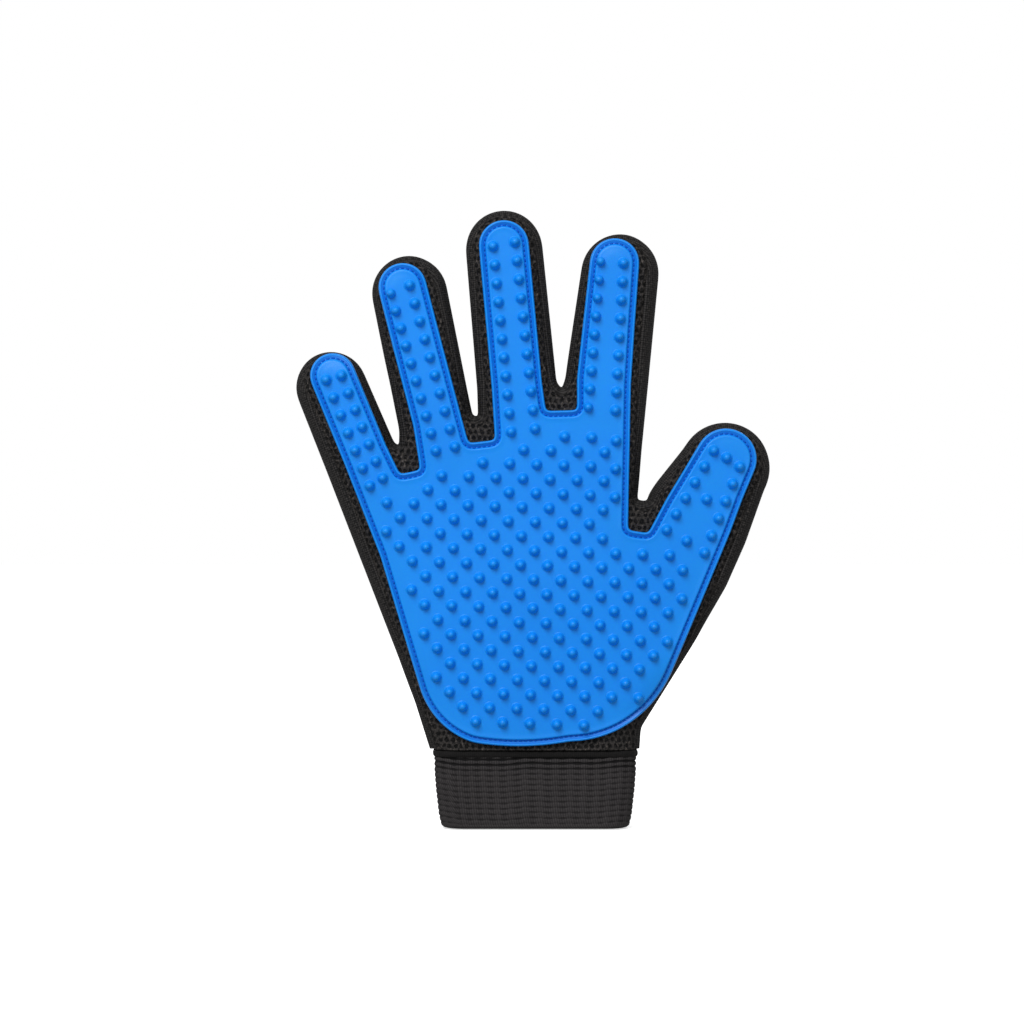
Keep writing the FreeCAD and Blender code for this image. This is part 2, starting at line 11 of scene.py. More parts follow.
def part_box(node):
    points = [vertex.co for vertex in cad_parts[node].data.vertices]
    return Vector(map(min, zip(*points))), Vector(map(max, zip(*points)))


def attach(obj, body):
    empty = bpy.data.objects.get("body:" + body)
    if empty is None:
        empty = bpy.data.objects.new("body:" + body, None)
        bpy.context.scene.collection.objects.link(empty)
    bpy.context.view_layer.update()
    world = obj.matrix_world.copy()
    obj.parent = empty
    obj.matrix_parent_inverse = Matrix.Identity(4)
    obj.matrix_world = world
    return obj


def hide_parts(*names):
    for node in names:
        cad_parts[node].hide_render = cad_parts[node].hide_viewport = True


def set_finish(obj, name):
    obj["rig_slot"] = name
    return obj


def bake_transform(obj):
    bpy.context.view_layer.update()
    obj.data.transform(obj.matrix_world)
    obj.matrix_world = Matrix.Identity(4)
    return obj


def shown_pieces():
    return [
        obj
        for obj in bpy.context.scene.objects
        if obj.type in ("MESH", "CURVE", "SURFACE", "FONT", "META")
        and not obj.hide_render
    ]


# Pet grooming glove, palm side towards -Y, fingers up, thumb on the +X side.
# Metres. The outlines, joint planes, nubs and depths are read from the frame; every piece is
# one skin of that outline, cut where the fingers and the wrist bend.

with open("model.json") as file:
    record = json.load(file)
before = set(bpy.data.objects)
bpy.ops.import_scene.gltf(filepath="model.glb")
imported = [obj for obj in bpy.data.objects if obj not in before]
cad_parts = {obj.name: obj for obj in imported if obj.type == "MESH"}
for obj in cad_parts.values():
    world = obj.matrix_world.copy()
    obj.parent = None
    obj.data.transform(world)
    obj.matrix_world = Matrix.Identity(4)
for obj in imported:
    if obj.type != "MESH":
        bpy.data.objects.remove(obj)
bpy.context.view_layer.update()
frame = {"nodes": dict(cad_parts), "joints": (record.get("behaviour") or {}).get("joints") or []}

MM = 0.001
FINGERS = ("little", "ring", "middle", "index", "thumb")
SEGMENTS = ("proximal", "distal")
JOINTS = {joint["name"]: joint for joint in frame["joints"]}
WRIST = np.array(JOINTS["wrist_flex"]["pos_m"])
WRIST_LEVEL = WRIST[2]

# ------------------------------------------------------------------ reading the frame


def node_points(node):
    """Every vertex of a CAD node, as rows of x, y, z."""
    mesh = frame["nodes"][node].data
    points = np.empty(len(mesh.vertices) * 3)
    mesh.vertices.foreach_get("co", points)
    return points.reshape(-1, 3)


def front_loops(node, level):
    """Closed loops that bound the flat faces of a node that look to -Y at one depth, in x and z."""
    mesh = frame["nodes"][node].data
    keys = [tuple(np.round((v.co.x / MM, v.co.z / MM), 3)) for v in mesh.vertices]
    half_edges = set()
    for face in mesh.polygons:
        if face.normal.y > -0.99 or abs(face.center.y - level) > 0.02 * MM:
            continue
        corners = [keys[index] for index in face.vertices]
        for start, stop in zip(corners, corners[1:] + corners[:1]):
            half_edges.add((start, stop))
    following = {start: stop for start, stop in half_edges if (stop, start) not in half_edges}
    loops = []
    while following:
        start, stop = following.popitem()
        loop = [start]
        while stop != loop[0]:
            loop.append(stop)
            stop = following.pop(stop)
        loops.append(np.array(loop) * MM)
    return sorted(loops, key=len, reverse=True)


def loop_length(loop):
    return float(np.linalg.norm(np.roll(loop, -1, 0) - loop, axis=1).sum())


def area(loop):
    """Signed area of a loop in x and z; clockwise loops are negative."""
    ahead = np.roll(loop, -1, 0)
    return 0.5 * float(np.sum(loop[:, 0] * ahead[:, 1] - ahead[:, 0] * loop[:, 1]))


def outline_of(node, level):
    """The outer loop of a node's front face, clockwise."""
    loop = max(front_loops(node, level), key=loop_length)
    return loop if area(loop) < 0 else loop[::-1]


class Finger:
    """Where a finger's joint planes and centre line are, with its widths."""

    def __init__(self, name):
        knuckle = JOINTS[f"{name}_knuckle"]
        middle = JOINTS[f"{name}_middle_joint"]
        self.name = name
        self.root = np.array(knuckle["pos_m"])
        self.across = np.array(knuckle["axis"])
        self.along = np.array((-self.across[2], 0.0, self.across[0]))
        self.mid = float((np.array(middle["pos_m"]) - self.root) @ self.along)
        offset, height = self.local(node_points(f"{name}_proximal_front")[:, [0, 2]])
        low, high = height.min(), height.max()
        self.half_root = float(np.abs(offset[height < low + MM]).max())
        half_mid = float(np.abs(offset[height > high - MM]).max())
        self.taper = (half_mid - self.half_root) / (high - low)
        top = self.local(node_points(f"{name}_distal_front")[:, [0, 2]])[1].max()
        self.reach = float((top - self.half_root) / (1 + self.taper))

    def local(self, spots):
        """Offset across the finger and height above its knuckle of points given as x and z."""
        step = np.asarray(spots) - self.root[[0, 2]]
        return step @ self.across[[0, 2]], step @ self.along[[0, 2]]

    def half(self, height):
        return self.half_root + self.taper * np.minimum(height, self.reach)

    def place(self, offset, height):
        return self.root[[0, 2]] + offset * self.across[[0, 2]] + height * self.along[[0, 2]]


HAND = {name: Finger(name) for name in FINGERS}
FRONT_FACE = float(node_points("palm_front_panel")[:, 1].min())
NUB_TOP = float(node_points("palm_pad")[:, 1].min())


def splice(parent, child, finger, plane):
    """Joins two clockwise loops that meet at a joint plane, at a height on a finger."""

    def open_at_plane(loop):
        ahead = np.roll(loop, -1, 0)
        offset, height = finger.local((loop + ahead) / 2)
        width = np.linalg.norm(ahead - loop, axis=1)
        miss = np.abs(height - plane) + np.abs(offset) * 0.2 + np.where(width < 5 * MM, 1.0, 0.0)
        return np.roll(loop, -int(np.argmin(miss)) - 1, 0)

    parent = open_at_plane(parent)
    child = open_at_plane(child)
    return np.vstack((parent, child))


def whole_outline(palm_node, part, level):
    """The outline of the palm and all the fingers together."""
    loop = outline_of(palm_node, level)
    for finger in HAND.values():
        loop = splice(loop, outline_of(f"{finger.name}_proximal_{part}", level), finger, 0.0)
        loop = splice(loop, outline_of(f"{finger.name}_distal_{part}", level), finger, finger.mid)
    return loop


def pad_level():
    """Depth of the flat front of the silicone pads, behind the tips of their nubs."""
    faces = frame["nodes"]["ring_proximal_pad"].data.polygons
    return max(face.center.y for face in faces if face.normal.y < -0.99)


def nub_spots():
    """Centre of every nub, from the flat tops of the nubs in the frame."""
    spots = []
    nodes = ["palm_pad"] + [f"{name}_{part}_pad" for name in FINGERS for part in SEGMENTS]
    for node in nodes:
        points = node_points(node)
        tops = points[points[:, 1] < NUB_TOP + 0.02 * MM][:, [0, 2]]
        left = np.unique(np.round(tops / MM, 3), axis=0) * MM
        while len(left):
            near = np.linalg.norm(left - left[0], axis=1) < 3.2 * MM
            group = left[near]
            spots.append((group.min(0) + group.max(0)) / 2)
            left = left[~near]
    return np.array(spots)


# ------------------------------------------------------------------ curves


def resample(points, spacing, closed, weight=None):
    """Points along a polyline at an even spacing, or even in a weighted length."""
    path = np.vstack((points, points[:1])) if closed else points
    steps = np.linalg.norm(np.diff(path, axis=0), axis=1)
    if weight is not None:
        tied = np.append(weight, weight[:1]) if closed else weight
        steps = steps * (tied[:-1] + tied[1:]) / 2
    travel = np.concatenate(([0.0], np.cumsum(steps)))
    count = max(4, int(round(travel[-1] / spacing)))
    goal = np.linspace(0, travel[-1], count + 1)
    made = np.stack([np.interp(goal, travel, path[:, axis]) for axis in range(path.shape[1])], 1)
    return made[:-1] if closed else made


def blurred(values, spread, closed):
    """Gaussian average along a sequence; spread is in samples."""
    reach = int(3 * spread) + 1
    kernel = np.exp(-0.5 * (np.arange(-reach, reach + 1) / spread) ** 2)
    kernel /= kernel.sum()
    if closed:
        padded = np.concatenate((values[-reach:], values, values[:reach]))
    else:
        before = 2 * values[0] - values[reach:0:-1]
        after = 2 * values[-1] - values[-2:-reach - 2:-1]
        padded = np.concatenate((before, values, after))
    if padded.ndim == 1:
        return np.convolve(padded, kernel, "valid")
    return np.stack([np.convolve(column, kernel, "valid") for column in padded.T], 1)


FINE = 0.15 * MM


def rounded(points, radius, closed):
    """The same curve with its corners rounded to about a radius."""
    fine = resample(points, FINE, closed)
    return blurred(fine, 0.7 * radius / FINE, closed)


def inward(points, closed):
    """Unit normals to the right of the direction of travel, which is inside a clockwise loop."""
    if closed:
        ahead, behind = np.roll(points, -1, 0), np.roll(points, 1, 0)
    else:
        ahead = np.vstack((points[1:], 2 * points[-1:] - points[-2:-1]))
        behind = np.vstack((2 * points[:1] - points[1:2], points[:-1]))
    tangent = ahead - behind
    tangent /= np.linalg.norm(tangent, axis=1)[:, None]
    return np.stack((tangent[:, 1], -tangent[:, 0]), 1)


def for_offset(points, offset, spacing, closed):
    """Resample so that a curve offset inwards still has evenly spaced points."""
    normals = inward(points, closed)
    moved = points + normals * offset
    ahead = np.roll(points, -1, 0) - points
    ahead_moved = np.roll(moved, -1, 0) - moved
    stretch = np.linalg.norm(ahead_moved, axis=1) / np.maximum(np.linalg.norm(ahead, axis=1), 1e-9)
    if not closed:
        stretch[-1] = stretch[-2]
    weight = np.maximum(1.0, blurred(np.clip(stretch, 0, 12), 0.4 * MM / FINE, closed))
    return resample(points, spacing, closed, weight)


def nearest_on(points, path, closed):
    """Distance from each point to a polyline, and the number of the nearest edge."""
    start = path if closed else path[:-1]
    stop = np.roll(path, -1, 0) if closed else path[1:]
    edge = stop - start
    length = np.maximum((edge ** 2).sum(1), 1e-18)
    distance = np.empty(len(points))
    number = np.empty(len(points), int)
    for low in range(0, len(points), 2000):
        part = points[low:low + 2000]
        step = part[:, None, :] - start[None]
        share = np.clip((step * edge[None]).sum(2) / length, 0, 1)
        gap = np.linalg.norm(step - share[..., None] * edge[None], axis=2)
        number[low:low + 2000] = gap.argmin(1)
        distance[low:low + 2000] = gap.min(1)
    return distance, number


def inside(points, loop):
    """Even-odd test of points against a closed loop."""
    start, stop = loop, np.roll(loop, -1, 0)
    result = np.zeros(len(points), bool)
    rise = np.where(stop[:, 1] == start[:, 1], 1e-12, stop[:, 1] - start[:, 1])
    for low in range(0, len(points), 2000):
        x, z = points[low:low + 2000, 0][:, None], points[low:low + 2000, 1][:, None]
        crosses = (start[:, 1] > z) != (stop[:, 1] > z)
        at = start[:, 0] + (z - start[:, 1]) * (stop[:, 0] - start[:, 0]) / rise
        result[low:low + 2000] = (crosses & (x < at)).sum(1) % 2 == 1
    return result


def hex_grid(low, high, pitch):
    """Points of a triangular lattice between two corners."""
    rows = np.arange(low[1], high[1], pitch * math.sqrt(3) / 2)
    spots = []
    for number, z in enumerate(rows):
        xs = np.arange(low[0] + (number % 2) * pitch / 2, high[0], pitch)
        spots.append(np.stack((xs, np.full(len(xs), z)), 1))
    return np.vstack(spots)


def fill(loop, spare, clearance):
    """Anticlockwise triangles inside a closed loop, through points that keep clear of the loop.

    Also gives the number, among the points returned, of every point of the loop.
    """
    spare = spare[inside(spare, loop)]
    spare = spare[nearest_on(spare, loop, True)[0] > clearance]
    points = np.vstack((loop, spare))
    count = len(loop)
    edges = [(index, (index + 1) % count) for index in range(count)]
    scaled = [Vector(point) for point in points / MM]
    made, _, faces, origin, _, _ = delaunay_2d_cdt(scaled, edges, [], 0, 1e-6, True)
    made = np.array([tuple(point) for point in made]) * MM
    first = np.full(count, -1)
    for index, sources in enumerate(origin):
        for source in sources:
            if source < count:
                first[source] = index
    walls = set()
    for start, stop in edges:
        walls.add((int(first[start]), int(first[stop])))
        walls.add((int(first[stop]), int(first[start])))
    return made, within_walls(faces, walls), first


def within_walls(faces, walls):
    """The triangles that can't be reached from outside without crossing a wall edge."""
    owner = {}
    for number, face in enumerate(faces):
        for edge in zip(face, face[1:] + face[:1]):
            owner[edge] = number
    queue = [number for (a, b), number in owner.items() if (b, a) not in owner and (a, b) not in walls]
    outside = set(queue)
    while queue:
        face = faces[queue.pop()]
        for a, b in zip(face, face[1:] + face[:1]):
            beside = owner.get((b, a))
            if beside is not None and beside not in outside and (a, b) not in walls:
                outside.add(beside)
                queue.append(beside)
    return np.array([face for number, face in enumerate(faces) if number not in outside])


def cap(loop, shared, base, total, pitch, clearance, flip):
    """The points inside a loop and the triangles that fill it.

    The loop's first points, as many as shared, are numbered already, from base on. Every other
    point is new and numbered from total on.
    """
    filled, triangles, first = fill(loop, hex_grid(loop.min(0), loop.max(0), pitch), clearance)
    number = np.full(len(filled), -1)
    number[first[:shared]] = base + np.arange(shared)
    fresh = np.flatnonzero(number < 0)
    number[fresh] = total + np.arange(len(fresh))
    return filled[fresh], number[triangles[:, ::-1] if flip else triangles].tolist()


def smoothstep(value):
    value = np.clip(value, 0.0, 1.0)
    return value * value * (3 - 2 * value)


# ------------------------------------------------------------------ the hand's surface

GLOVE_LOOP = whole_outline("palm_front_panel", "front", FRONT_FACE)
PAD_LEVEL = pad_level()
PAD_LOOP = whole_outline("palm_pad", "pad", PAD_LEVEL)
NUBS = nub_spots()


def open_at_hem(loop):
    """The glove's outline as an open path from the hem's little-finger end to its thumb end."""
    at_hem = loop[:, 1] < loop[:, 1].min() + 0.05 * MM
    ends = np.flatnonzero(at_hem)
    left = ends[np.argmin(loop[ends, 0])]
    return np.roll(loop, -left, 0)


WEB_CORNER = (44 * MM, 123 * MM)


def eased(path):
    """Rounds the outline more where the index finger's side runs into the web to the thumb."""
    soft = blurred(path, 2.5 * MM / FINE, closed=False)
    share = smoothstep(1.5 - np.linalg.norm(path - WEB_CORNER, axis=1) / (6 * MM))[:, None]
    return path + (soft - path) * share


PATH = eased(rounded(open_at_hem(GLOVE_LOOP), 1.6 * MM, closed=False))
PATH[:, 1] = np.maximum(PATH[:, 1], PATH[0, 1])
EDGE_ROUND = 5.5 * MM
TIP_ROUND = 9.0 * MM
WRIST_ROUND = 12.0 * MM
SIDE_POWER = 2.3
PATH = for_offset(PATH, 6.5 * MM, 1.15 * MM, closed=False)
PAD_EDGE = for_offset(rounded(PAD_LOOP, 1.6 * MM, closed=True), 4.0 * MM, 1.1 * MM, closed=True)


def round_at(spots):
    """How far the sides of the glove curve in from the silhouette, near points in x and z."""
    spots = np.asarray(spots)
    size = np.full(len(spots), EDGE_ROUND)
    for finger in HAND.values():
        offset, height = finger.local(spots)
        near = np.abs(offset) < finger.half(height) + 2 * MM
        tip = smoothstep((height - finger.reach + 4 * MM) / (finger.half_root + 4 * MM))
        size = np.where(near, np.maximum(size, EDGE_ROUND + (TIP_ROUND - EDGE_ROUND) * tip), size)
    wrist = 1 - smoothstep((spots[:, 1] - WRIST_LEVEL) / (45 * MM))
    return size + (WRIST_ROUND - EDGE_ROUND) * wrist


PATH_ROUND = blurred(round_at(PATH), 3, closed=False)
BACK_FACE_LEVELS = np.array((28, 60, 95, 125, 150, 185, 222)) * MM
BACK_FACE_DEPTHS = np.array((13.3, 11.9, 9.7, 7.9, 6.6, 5.3, 4.2)) * MM


def back_face(spots):
    """Depth of the flat of the back, which leans towards the fingertips."""
    return np.interp(spots[:, 1], BACK_FACE_LEVELS, BACK_FACE_DEPTHS)


def ripple(spots, seed, pitch):
    """Slow, repeatable waves between -1 and 1."""
    dice = random.Random(seed)
    total = np.zeros(len(spots))
    for _ in range(5):
        angle = dice.uniform(0, math.pi)
        wave = 2 * math.pi / (pitch * dice.uniform(0.7, 1.5))
        phase = dice.uniform(0, 2 * math.pi)
        total += np.sin((spots[:, 0] * math.cos(angle) + spots[:, 1] * math.sin(angle)) * wave + phase)
    return total / 5


def front_face(spots):
    """Depth of the flat of the palm side: a low crown on the palm, and slow waves."""
    palm = np.exp(-(((spots[:, 0] - 2 * MM) / (34 * MM)) ** 2) - ((spots[:, 1] - 80 * MM) / (30 * MM)) ** 2)
    crown = 1.3 * MM * palm
    return FRONT_FACE - crown + 0.22 * MM * ripple(spots, 4, 38 * MM)


def bulge(share):
    """Rounded side: 0 at the silhouette, 1 where the flat begins."""
    share = np.clip(share, 0.0, 1.0)
    return (1 - (1 - share) ** SIDE_POWER) ** (1 / SIDE_POWER)


def skin_depth(spots, share, front):
    """Depth of the skin at points whose distance from the silhouette is a share of the rounding."""
    near, far = front_face(spots), back_face(spots)
    middle = (near + far) / 2
    flat = near if front else far
    return middle + (flat - middle) * bulge(share)


def front_surface(spots):
    distance, number = nearest_on(spots, PATH, False)
    return skin_depth(spots, distance / PATH_ROUND[number], True)


# ------------------------------------------------------------------ making meshes


def make_object(name, points, faces, strip=None, sharp=None):
    """A smooth mesh object. rest and strip are kept as attributes, in millimetres, for the materials."""
    points = np.asarray(points, float)
    mesh = bpy.data.meshes.new(name)
    mesh.from_pydata(points.tolist(), [], [list(map(int, face)) for face in faces])
    mesh.update()
    mesh.shade_smooth()
    if sharp is not None:
        flags = mesh.attributes.get("sharp_edge") or mesh.attributes.new("sharp_edge", "BOOLEAN", "EDGE")
        keys = {tuple(sorted(edge.vertices)): edge.index for edge in mesh.edges}
        for edge in sharp:
            flags.data[keys[tuple(sorted(map(int, edge)))]].value = True
    if strip is None:
        strip = np.zeros((len(points), 3))
    for label, values in (("rest", points / MM), ("strip", np.asarray(strip) / MM)):
        layer = mesh.attributes.new(label, "FLOAT_VECTOR", "POINT")
        layer.data.foreach_set("vector", values.astype(np.float32).ravel())
    obj = bpy.data.objects.new(name, mesh)
    bpy.context.scene.collection.objects.link(obj)
    return obj


def unit(rows):
    """Vectors of length one."""
    return rows / np.maximum(np.linalg.norm(rows, axis=-1, keepdims=True), 1e-12)


def grid_faces(rows, columns, closed, flip=False):
    """Quads of a grid of rows x columns, numbered row by row."""
    faces = []
    for row in range(rows - 1):
        for column in range(columns if closed else columns - 1):
            beside = (column + 1) % columns
            quad = [
                row * columns + column,
                row * columns + beside,
                (row + 1) * columns + beside,
                (row + 1) * columns + column,
            ]
            faces.append(quad[::-1] if flip else quad)
    return faces


def on_side(spots, depths):
    """Points in space from x, z and depth."""
    return np.stack((spots[:, 0], depths, spots[:, 1]), 1)


def tubes(lines, upward, radius, sides=8):
    """Closed round rods along several polylines, each with as many points as the others."""
    count, length, _ = lines.shape
    tangent = np.gradient(lines, axis=1)
    tangent = unit(tangent)
    sideways = unit(np.cross(tangent, upward))
    lift = np.cross(sideways, tangent)
    angles = np.arange(sides) * 2 * math.pi / sides
    ring = np.cos(angles)[None, None, :, None] * sideways[:, :, None]
    ring = ring + np.sin(angles)[None, None, :, None] * lift[:, :, None]
    shape = np.sqrt(np.maximum(0.0, 1 - np.linspace(-1, 1, length) ** 6))
    width = radius * np.maximum(shape, 0.35)
    points = lines[:, :, None] + ring * width[None, :, None, None]
    points = points.reshape(count, length * sides, 3)
    body = grid_faces(length, sides, closed=True, flip=True)
    body.append(list(range(sides)))
    body.append([(length - 1) * sides + side for side in range(sides)][::-1])
    faces = []
    for number in range(count):
        base = number * length * sides
        faces += [[base + corner for corner in face] for face in body]
    return points.reshape(-1, 3), faces


# ------------------------------------------------------------------ parts of the hand

SEGMENT_SLACK = 1.0 * MM         # how far outside a finger's width a point still belongs to it
SEGMENT_NAMES = ["palm"] + [f"{name}_{part}" for name in FINGERS for part in SEGMENTS]


def segment_of(spots):
    """Number of the segment, in SEGMENT_NAMES, that points in x and z belong to."""
    best = np.full(len(spots), SEGMENT_SLACK)
    found = np.zeros(len(spots), int)
    for number, finger in enumerate(HAND.values()):
        offset, height = finger.local(spots)
        outside = np.abs(offset) - finger.half(height)
        mine = (height > 0) & (outside < best)
        best = np.where(mine, outside, best)
        found = np.where(mine, 1 + 2 * number + (height > finger.mid), found)
    return found


def bend(obj, segment):
    """Bakes the placement of a piece of the hand into its mesh; the palm and the fingers are treated alike.
    """
    if segment == "palm":
        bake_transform(obj)
        return
    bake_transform(obj)


def cut_planes(mesh, margin):
    """Cuts a bmesh of the hand along every joint plane, within each finger's width."""
    for finger in HAND.values():
        for height in (0.0, finger.mid):
            near = []
            for face in mesh.faces:
                centre = face.calc_center_median()
                offset, level = finger.local((centre.x, centre.z))
                if abs(level - height) < 4 * MM and abs(offset) < finger.half(height) + margin:
                    near.append(face)
            edges = {edge for face in near for edge in face.edges}
            corners = {corner for face in near for corner in face.verts}
            bmesh.ops.bisect_plane(
                mesh,
                geom=near + list(edges) + list(corners),
                dist=0.02 * MM,
                plane_co=finger.root + finger.along * height,
                plane_no=finger.along,
            )


def load_bmesh(points, faces, strip, tags):
    """A bmesh with a vector per vertex and a whole number per face."""
    mesh = bmesh.new()
    strip_layer = mesh.verts.layers.float_vector.new("strip")
    tag_layer = mesh.faces.layers.int.new("tag")
    made = []
    for point, values in zip(points.tolist(), strip.tolist()):
        vertex = mesh.verts.new(point)
        vertex[strip_layer] = values
        made.append(vertex)
    for face, tag in zip(faces, tags):
        mesh.faces.new([made[corner] for corner in face])[tag_layer] = int(tag)
    mesh.normal_update()
    return mesh, strip_layer, tag_layer


def face_centres(mesh):
    """x and z of the middle of every face."""
    centres = np.array([tuple(face.calc_center_median()) for face in mesh.faces])
    return centres[:, [0, 2]]


# ------------------------------------------------------------------ the fabric skin

FRONT, GUSSET, BACK = 0, 1, 2
CLOTH_THICK = 1.0 * MM
SKIN_PITCH = 2.2 * MM            # size of the triangles in the flats of the cloth
SEAM_INSET = 4.5 * MM            # the front seam runs this far inside the silhouette at most
BACK_SEAM_INSET = 1.6 * MM
PAD_MARGIN = 2.6 * MM            # and this far outside the pad
FRONT_SEAM_ROWS = (-0.6, -0.25, 0.0, 0.25, 0.6, 1.0)      # rows beside the seams, in millimetres
BACK_SEAM_ROWS = (-0.6, -0.25, 0.0, 0.25, 0.6, 1.1, 1.7)


def path_inward():
    """Inward directions along the outline, laid level at both ends of the hem."""
    normals = inward(PATH, closed=False)
    travel = path_travel()
    for ends, level in ((travel, 1.0), (travel[-1] - travel, -1.0)):
        share = smoothstep(ends / (15 * MM))[:, None]
        normals = unit(normals * share + np.array((level, 0.0)) * (1 - share))
    return normals


def path_travel():
    """Distance of every point of the outline along it, from the hem's little-finger end."""
    steps = np.linalg.norm(np.diff(PATH, axis=0), axis=1)
    return np.concatenate(([0.0], np.cumsum(steps)))


def seam_inset():
    """Distance of the front seam from the silhouette along the outline."""
    gap, _ = nearest_on(PATH, PAD_EDGE, True)
    inset = np.clip(gap - PAD_MARGIN, 1.3 * MM, SEAM_INSET)
    wrist = 1.3 * MM + 3.5 * MM * smoothstep((PATH[:, 1] - 45 * MM) / (40 * MM))
    return np.maximum(blurred(np.minimum(inset, wrist), 5, closed=False), 1.2 * MM)


def round_levels(limit, count):
    """Distances from the silhouette up to a limit, at even angles of the rounded side."""
    share = np.clip(1 - limit / PATH_ROUND, 0, 1)
    stop = np.arccos(share ** (SIDE_POWER / 2))
    angles = stop[None] * np.linspace(0, 1, count)[:, None]
    return PATH_ROUND * (1 - np.cos(angles) ** (2 / SIDE_POWER))


def ring_levels(seam, inner, count_side, beside):
    """Rows of distances from the silhouette to the flat, and the number of the row on the seam."""
    side = round_levels(seam - 1.0 * MM, count_side)
    near = seam[None] + np.array(beside)[:, None] * MM
    start = near[-1]
    far = start[None] + (inner - start)[None] * np.linspace(0.25, 1, 4)[:, None]
    return np.vstack((side, near, far)), count_side + beside.index(0.0)


def seam_relief(gap):
    """Height of the cloth beside a sewn seam: a groove on the seam between two soft ridges."""
    groove = -0.5 * MM * np.exp(-((gap / (0.5 * MM)) ** 2))
    ridge = 0.25 * MM * np.exp(-(((np.abs(gap) - 1.15 * MM) / (0.55 * MM)) ** 2))
    return groove + ridge


def cloth_relief(spots, front):
    """Gathers above the cuff, creases across the back of the joints, and slow slack."""
    level = spots[:, 1] - WRIST_LEVEL
    sway = ripple(spots, 9, 30 * MM)
    gather = np.sin(2 * math.pi * spots[:, 0] / (8.5 * MM) + 2.5 * sway)
    relief = 0.35 * MM * gather * np.exp(-np.maximum(level, 0) / (6 * MM)) * smoothstep(level / (1.5 * MM))
    relief += 0.12 * MM * ripple(spots, 21, 14 * MM)
    if front:
        return relief
    for finger in HAND.values():
        offset, height = finger.local(spots)
        within = np.abs(offset) < finger.half(height) + 1 * MM
        middle = np.exp(-((offset / finger.half_root) ** 2) * 1.5)
        for place, size in ((finger.mid, 0.32), (0.0, 0.25)):
            for step in (-3.2, 0.0, 3.2):
                bow = 0.05 * offset ** 2 / finger.half_root
                crease = np.exp(-(((height + bow - place - step * MM) / (0.9 * MM)) ** 2))
                relief -= np.where(within, size * MM * crease * middle, 0)
    return relief


def build_skin():
    """The whole hand's cloth as one shell: points, faces, strip coordinates and face tags."""
    normals = path_inward()
    travel = path_travel()
    columns = len(PATH)
    seam = seam_inset()
    front_inner = np.maximum(PATH_ROUND, seam + 1.8 * MM)
    front_levels, front_seam = ring_levels(seam, front_inner, 7, FRONT_SEAM_ROWS)
    back_seam_inset = np.full(columns, BACK_SEAM_INSET)
    back_levels, back_seam = ring_levels(back_seam_inset, PATH_ROUND, 5, BACK_SEAM_ROWS)
    points, faces, tags, lifts, strips = [], [], [], [], []
    total = 0
    for front in (True, False):
        levels = front_levels if front else back_levels
        seam_line = seam if front else back_seam_inset
        seam_row = front_seam if front else back_seam
        flat_tag = FRONT if front else BACK
        rows = len(levels)
        spots = PATH[None] + normals[None] * levels[..., None]
        spots[..., 1] = np.maximum(spots[..., 1], PATH[0, 1])
        flat = spots.reshape(-1, 2)
        share = (levels / PATH_ROUND[None]).ravel()
        ring = on_side(flat, skin_depth(flat, share, front))
        lift = seam_relief((levels - seam_line[None])).ravel()
        lift += cloth_relief(flat, front) * np.clip(share * 2, 0, 1)
        shaped = ring.reshape(rows, columns, 3)
        step = np.linalg.norm(np.diff(shaped, axis=0), axis=2)
        girth = np.vstack((np.zeros(columns), np.cumsum(step, axis=0)))
        strip = np.zeros((rows, columns, 3))
        strip[..., 0] = travel[None]
        strip[..., 1] = girth if front else -girth
        # Ring 0 is the silhouette, which the front and the back share.
        skip = 0 if front else columns
        base = total - skip
        points.append(ring[skip:])
        lifts.append(lift[skip:])
        strips.append(strip.reshape(-1, 3)[skip:])
        number = np.arange(rows * columns) + base
        if not front:
            number[:columns] = np.arange(columns)
        for index, quad in enumerate(grid_faces(rows, columns, closed=False, flip=front)):
            faces.append([int(number[corner]) for corner in quad])
            row = index // (columns - 1)
            tags.append(GUSSET if row < seam_row else flat_tag)
        total += len(ring) - skip
        inner = spots[-1]
        hem_x = np.arange(inner[-1, 0] - SKIN_PITCH, inner[0, 0] + SKIN_PITCH / 2, -SKIN_PITCH)
        hem = np.stack((hem_x, np.full(len(hem_x), PATH[0, 1])), 1)
        last_row = base + (rows - 1) * columns
        fresh, triangles = cap(
            np.vstack((inner, hem)), columns, last_row, total, SKIN_PITCH, 1.0 * MM, flip=not front
        )
        points.append(on_side(fresh, front_face(fresh) if front else back_face(fresh)))
        lifts.append(cloth_relief(fresh, front))
        strips.append(np.zeros((len(fresh), 3)))
        total += len(fresh)
        faces += triangles
        tags += [flat_tag] * len(triangles)
    return np.vstack(points), faces, np.concatenate(lifts), np.vstack(strips), tags


def finger_travel():
    """Distance along the outline to the middle of every finger."""
    travel = path_travel()
    found = {}
    for finger in HAND.values():
        corners = [finger.place(sign * finger.half_root, 0.0) for sign in (-1, 1)]
        nearest = [np.linalg.norm(PATH - corner, axis=1).argmin() for corner in corners]
        found[finger.name] = float(travel[nearest].mean())
    return found


FINGER_TRAVEL = finger_travel()


def gusset_node(segment, travel):
    """The CAD node that a piece of gusset at a distance along the outline stands for."""
    if segment != "palm":
        return f"{segment}_gusset"
    if travel < FINGER_TRAVEL["little"]:
        return "little_side_gusset"
    if travel > FINGER_TRAVEL["thumb"]:
        return "thumb_side_gusset"
    if travel > FINGER_TRAVEL["index"]:
        return "thumb_web_gusset"
    return "finger_crotch_gussets"


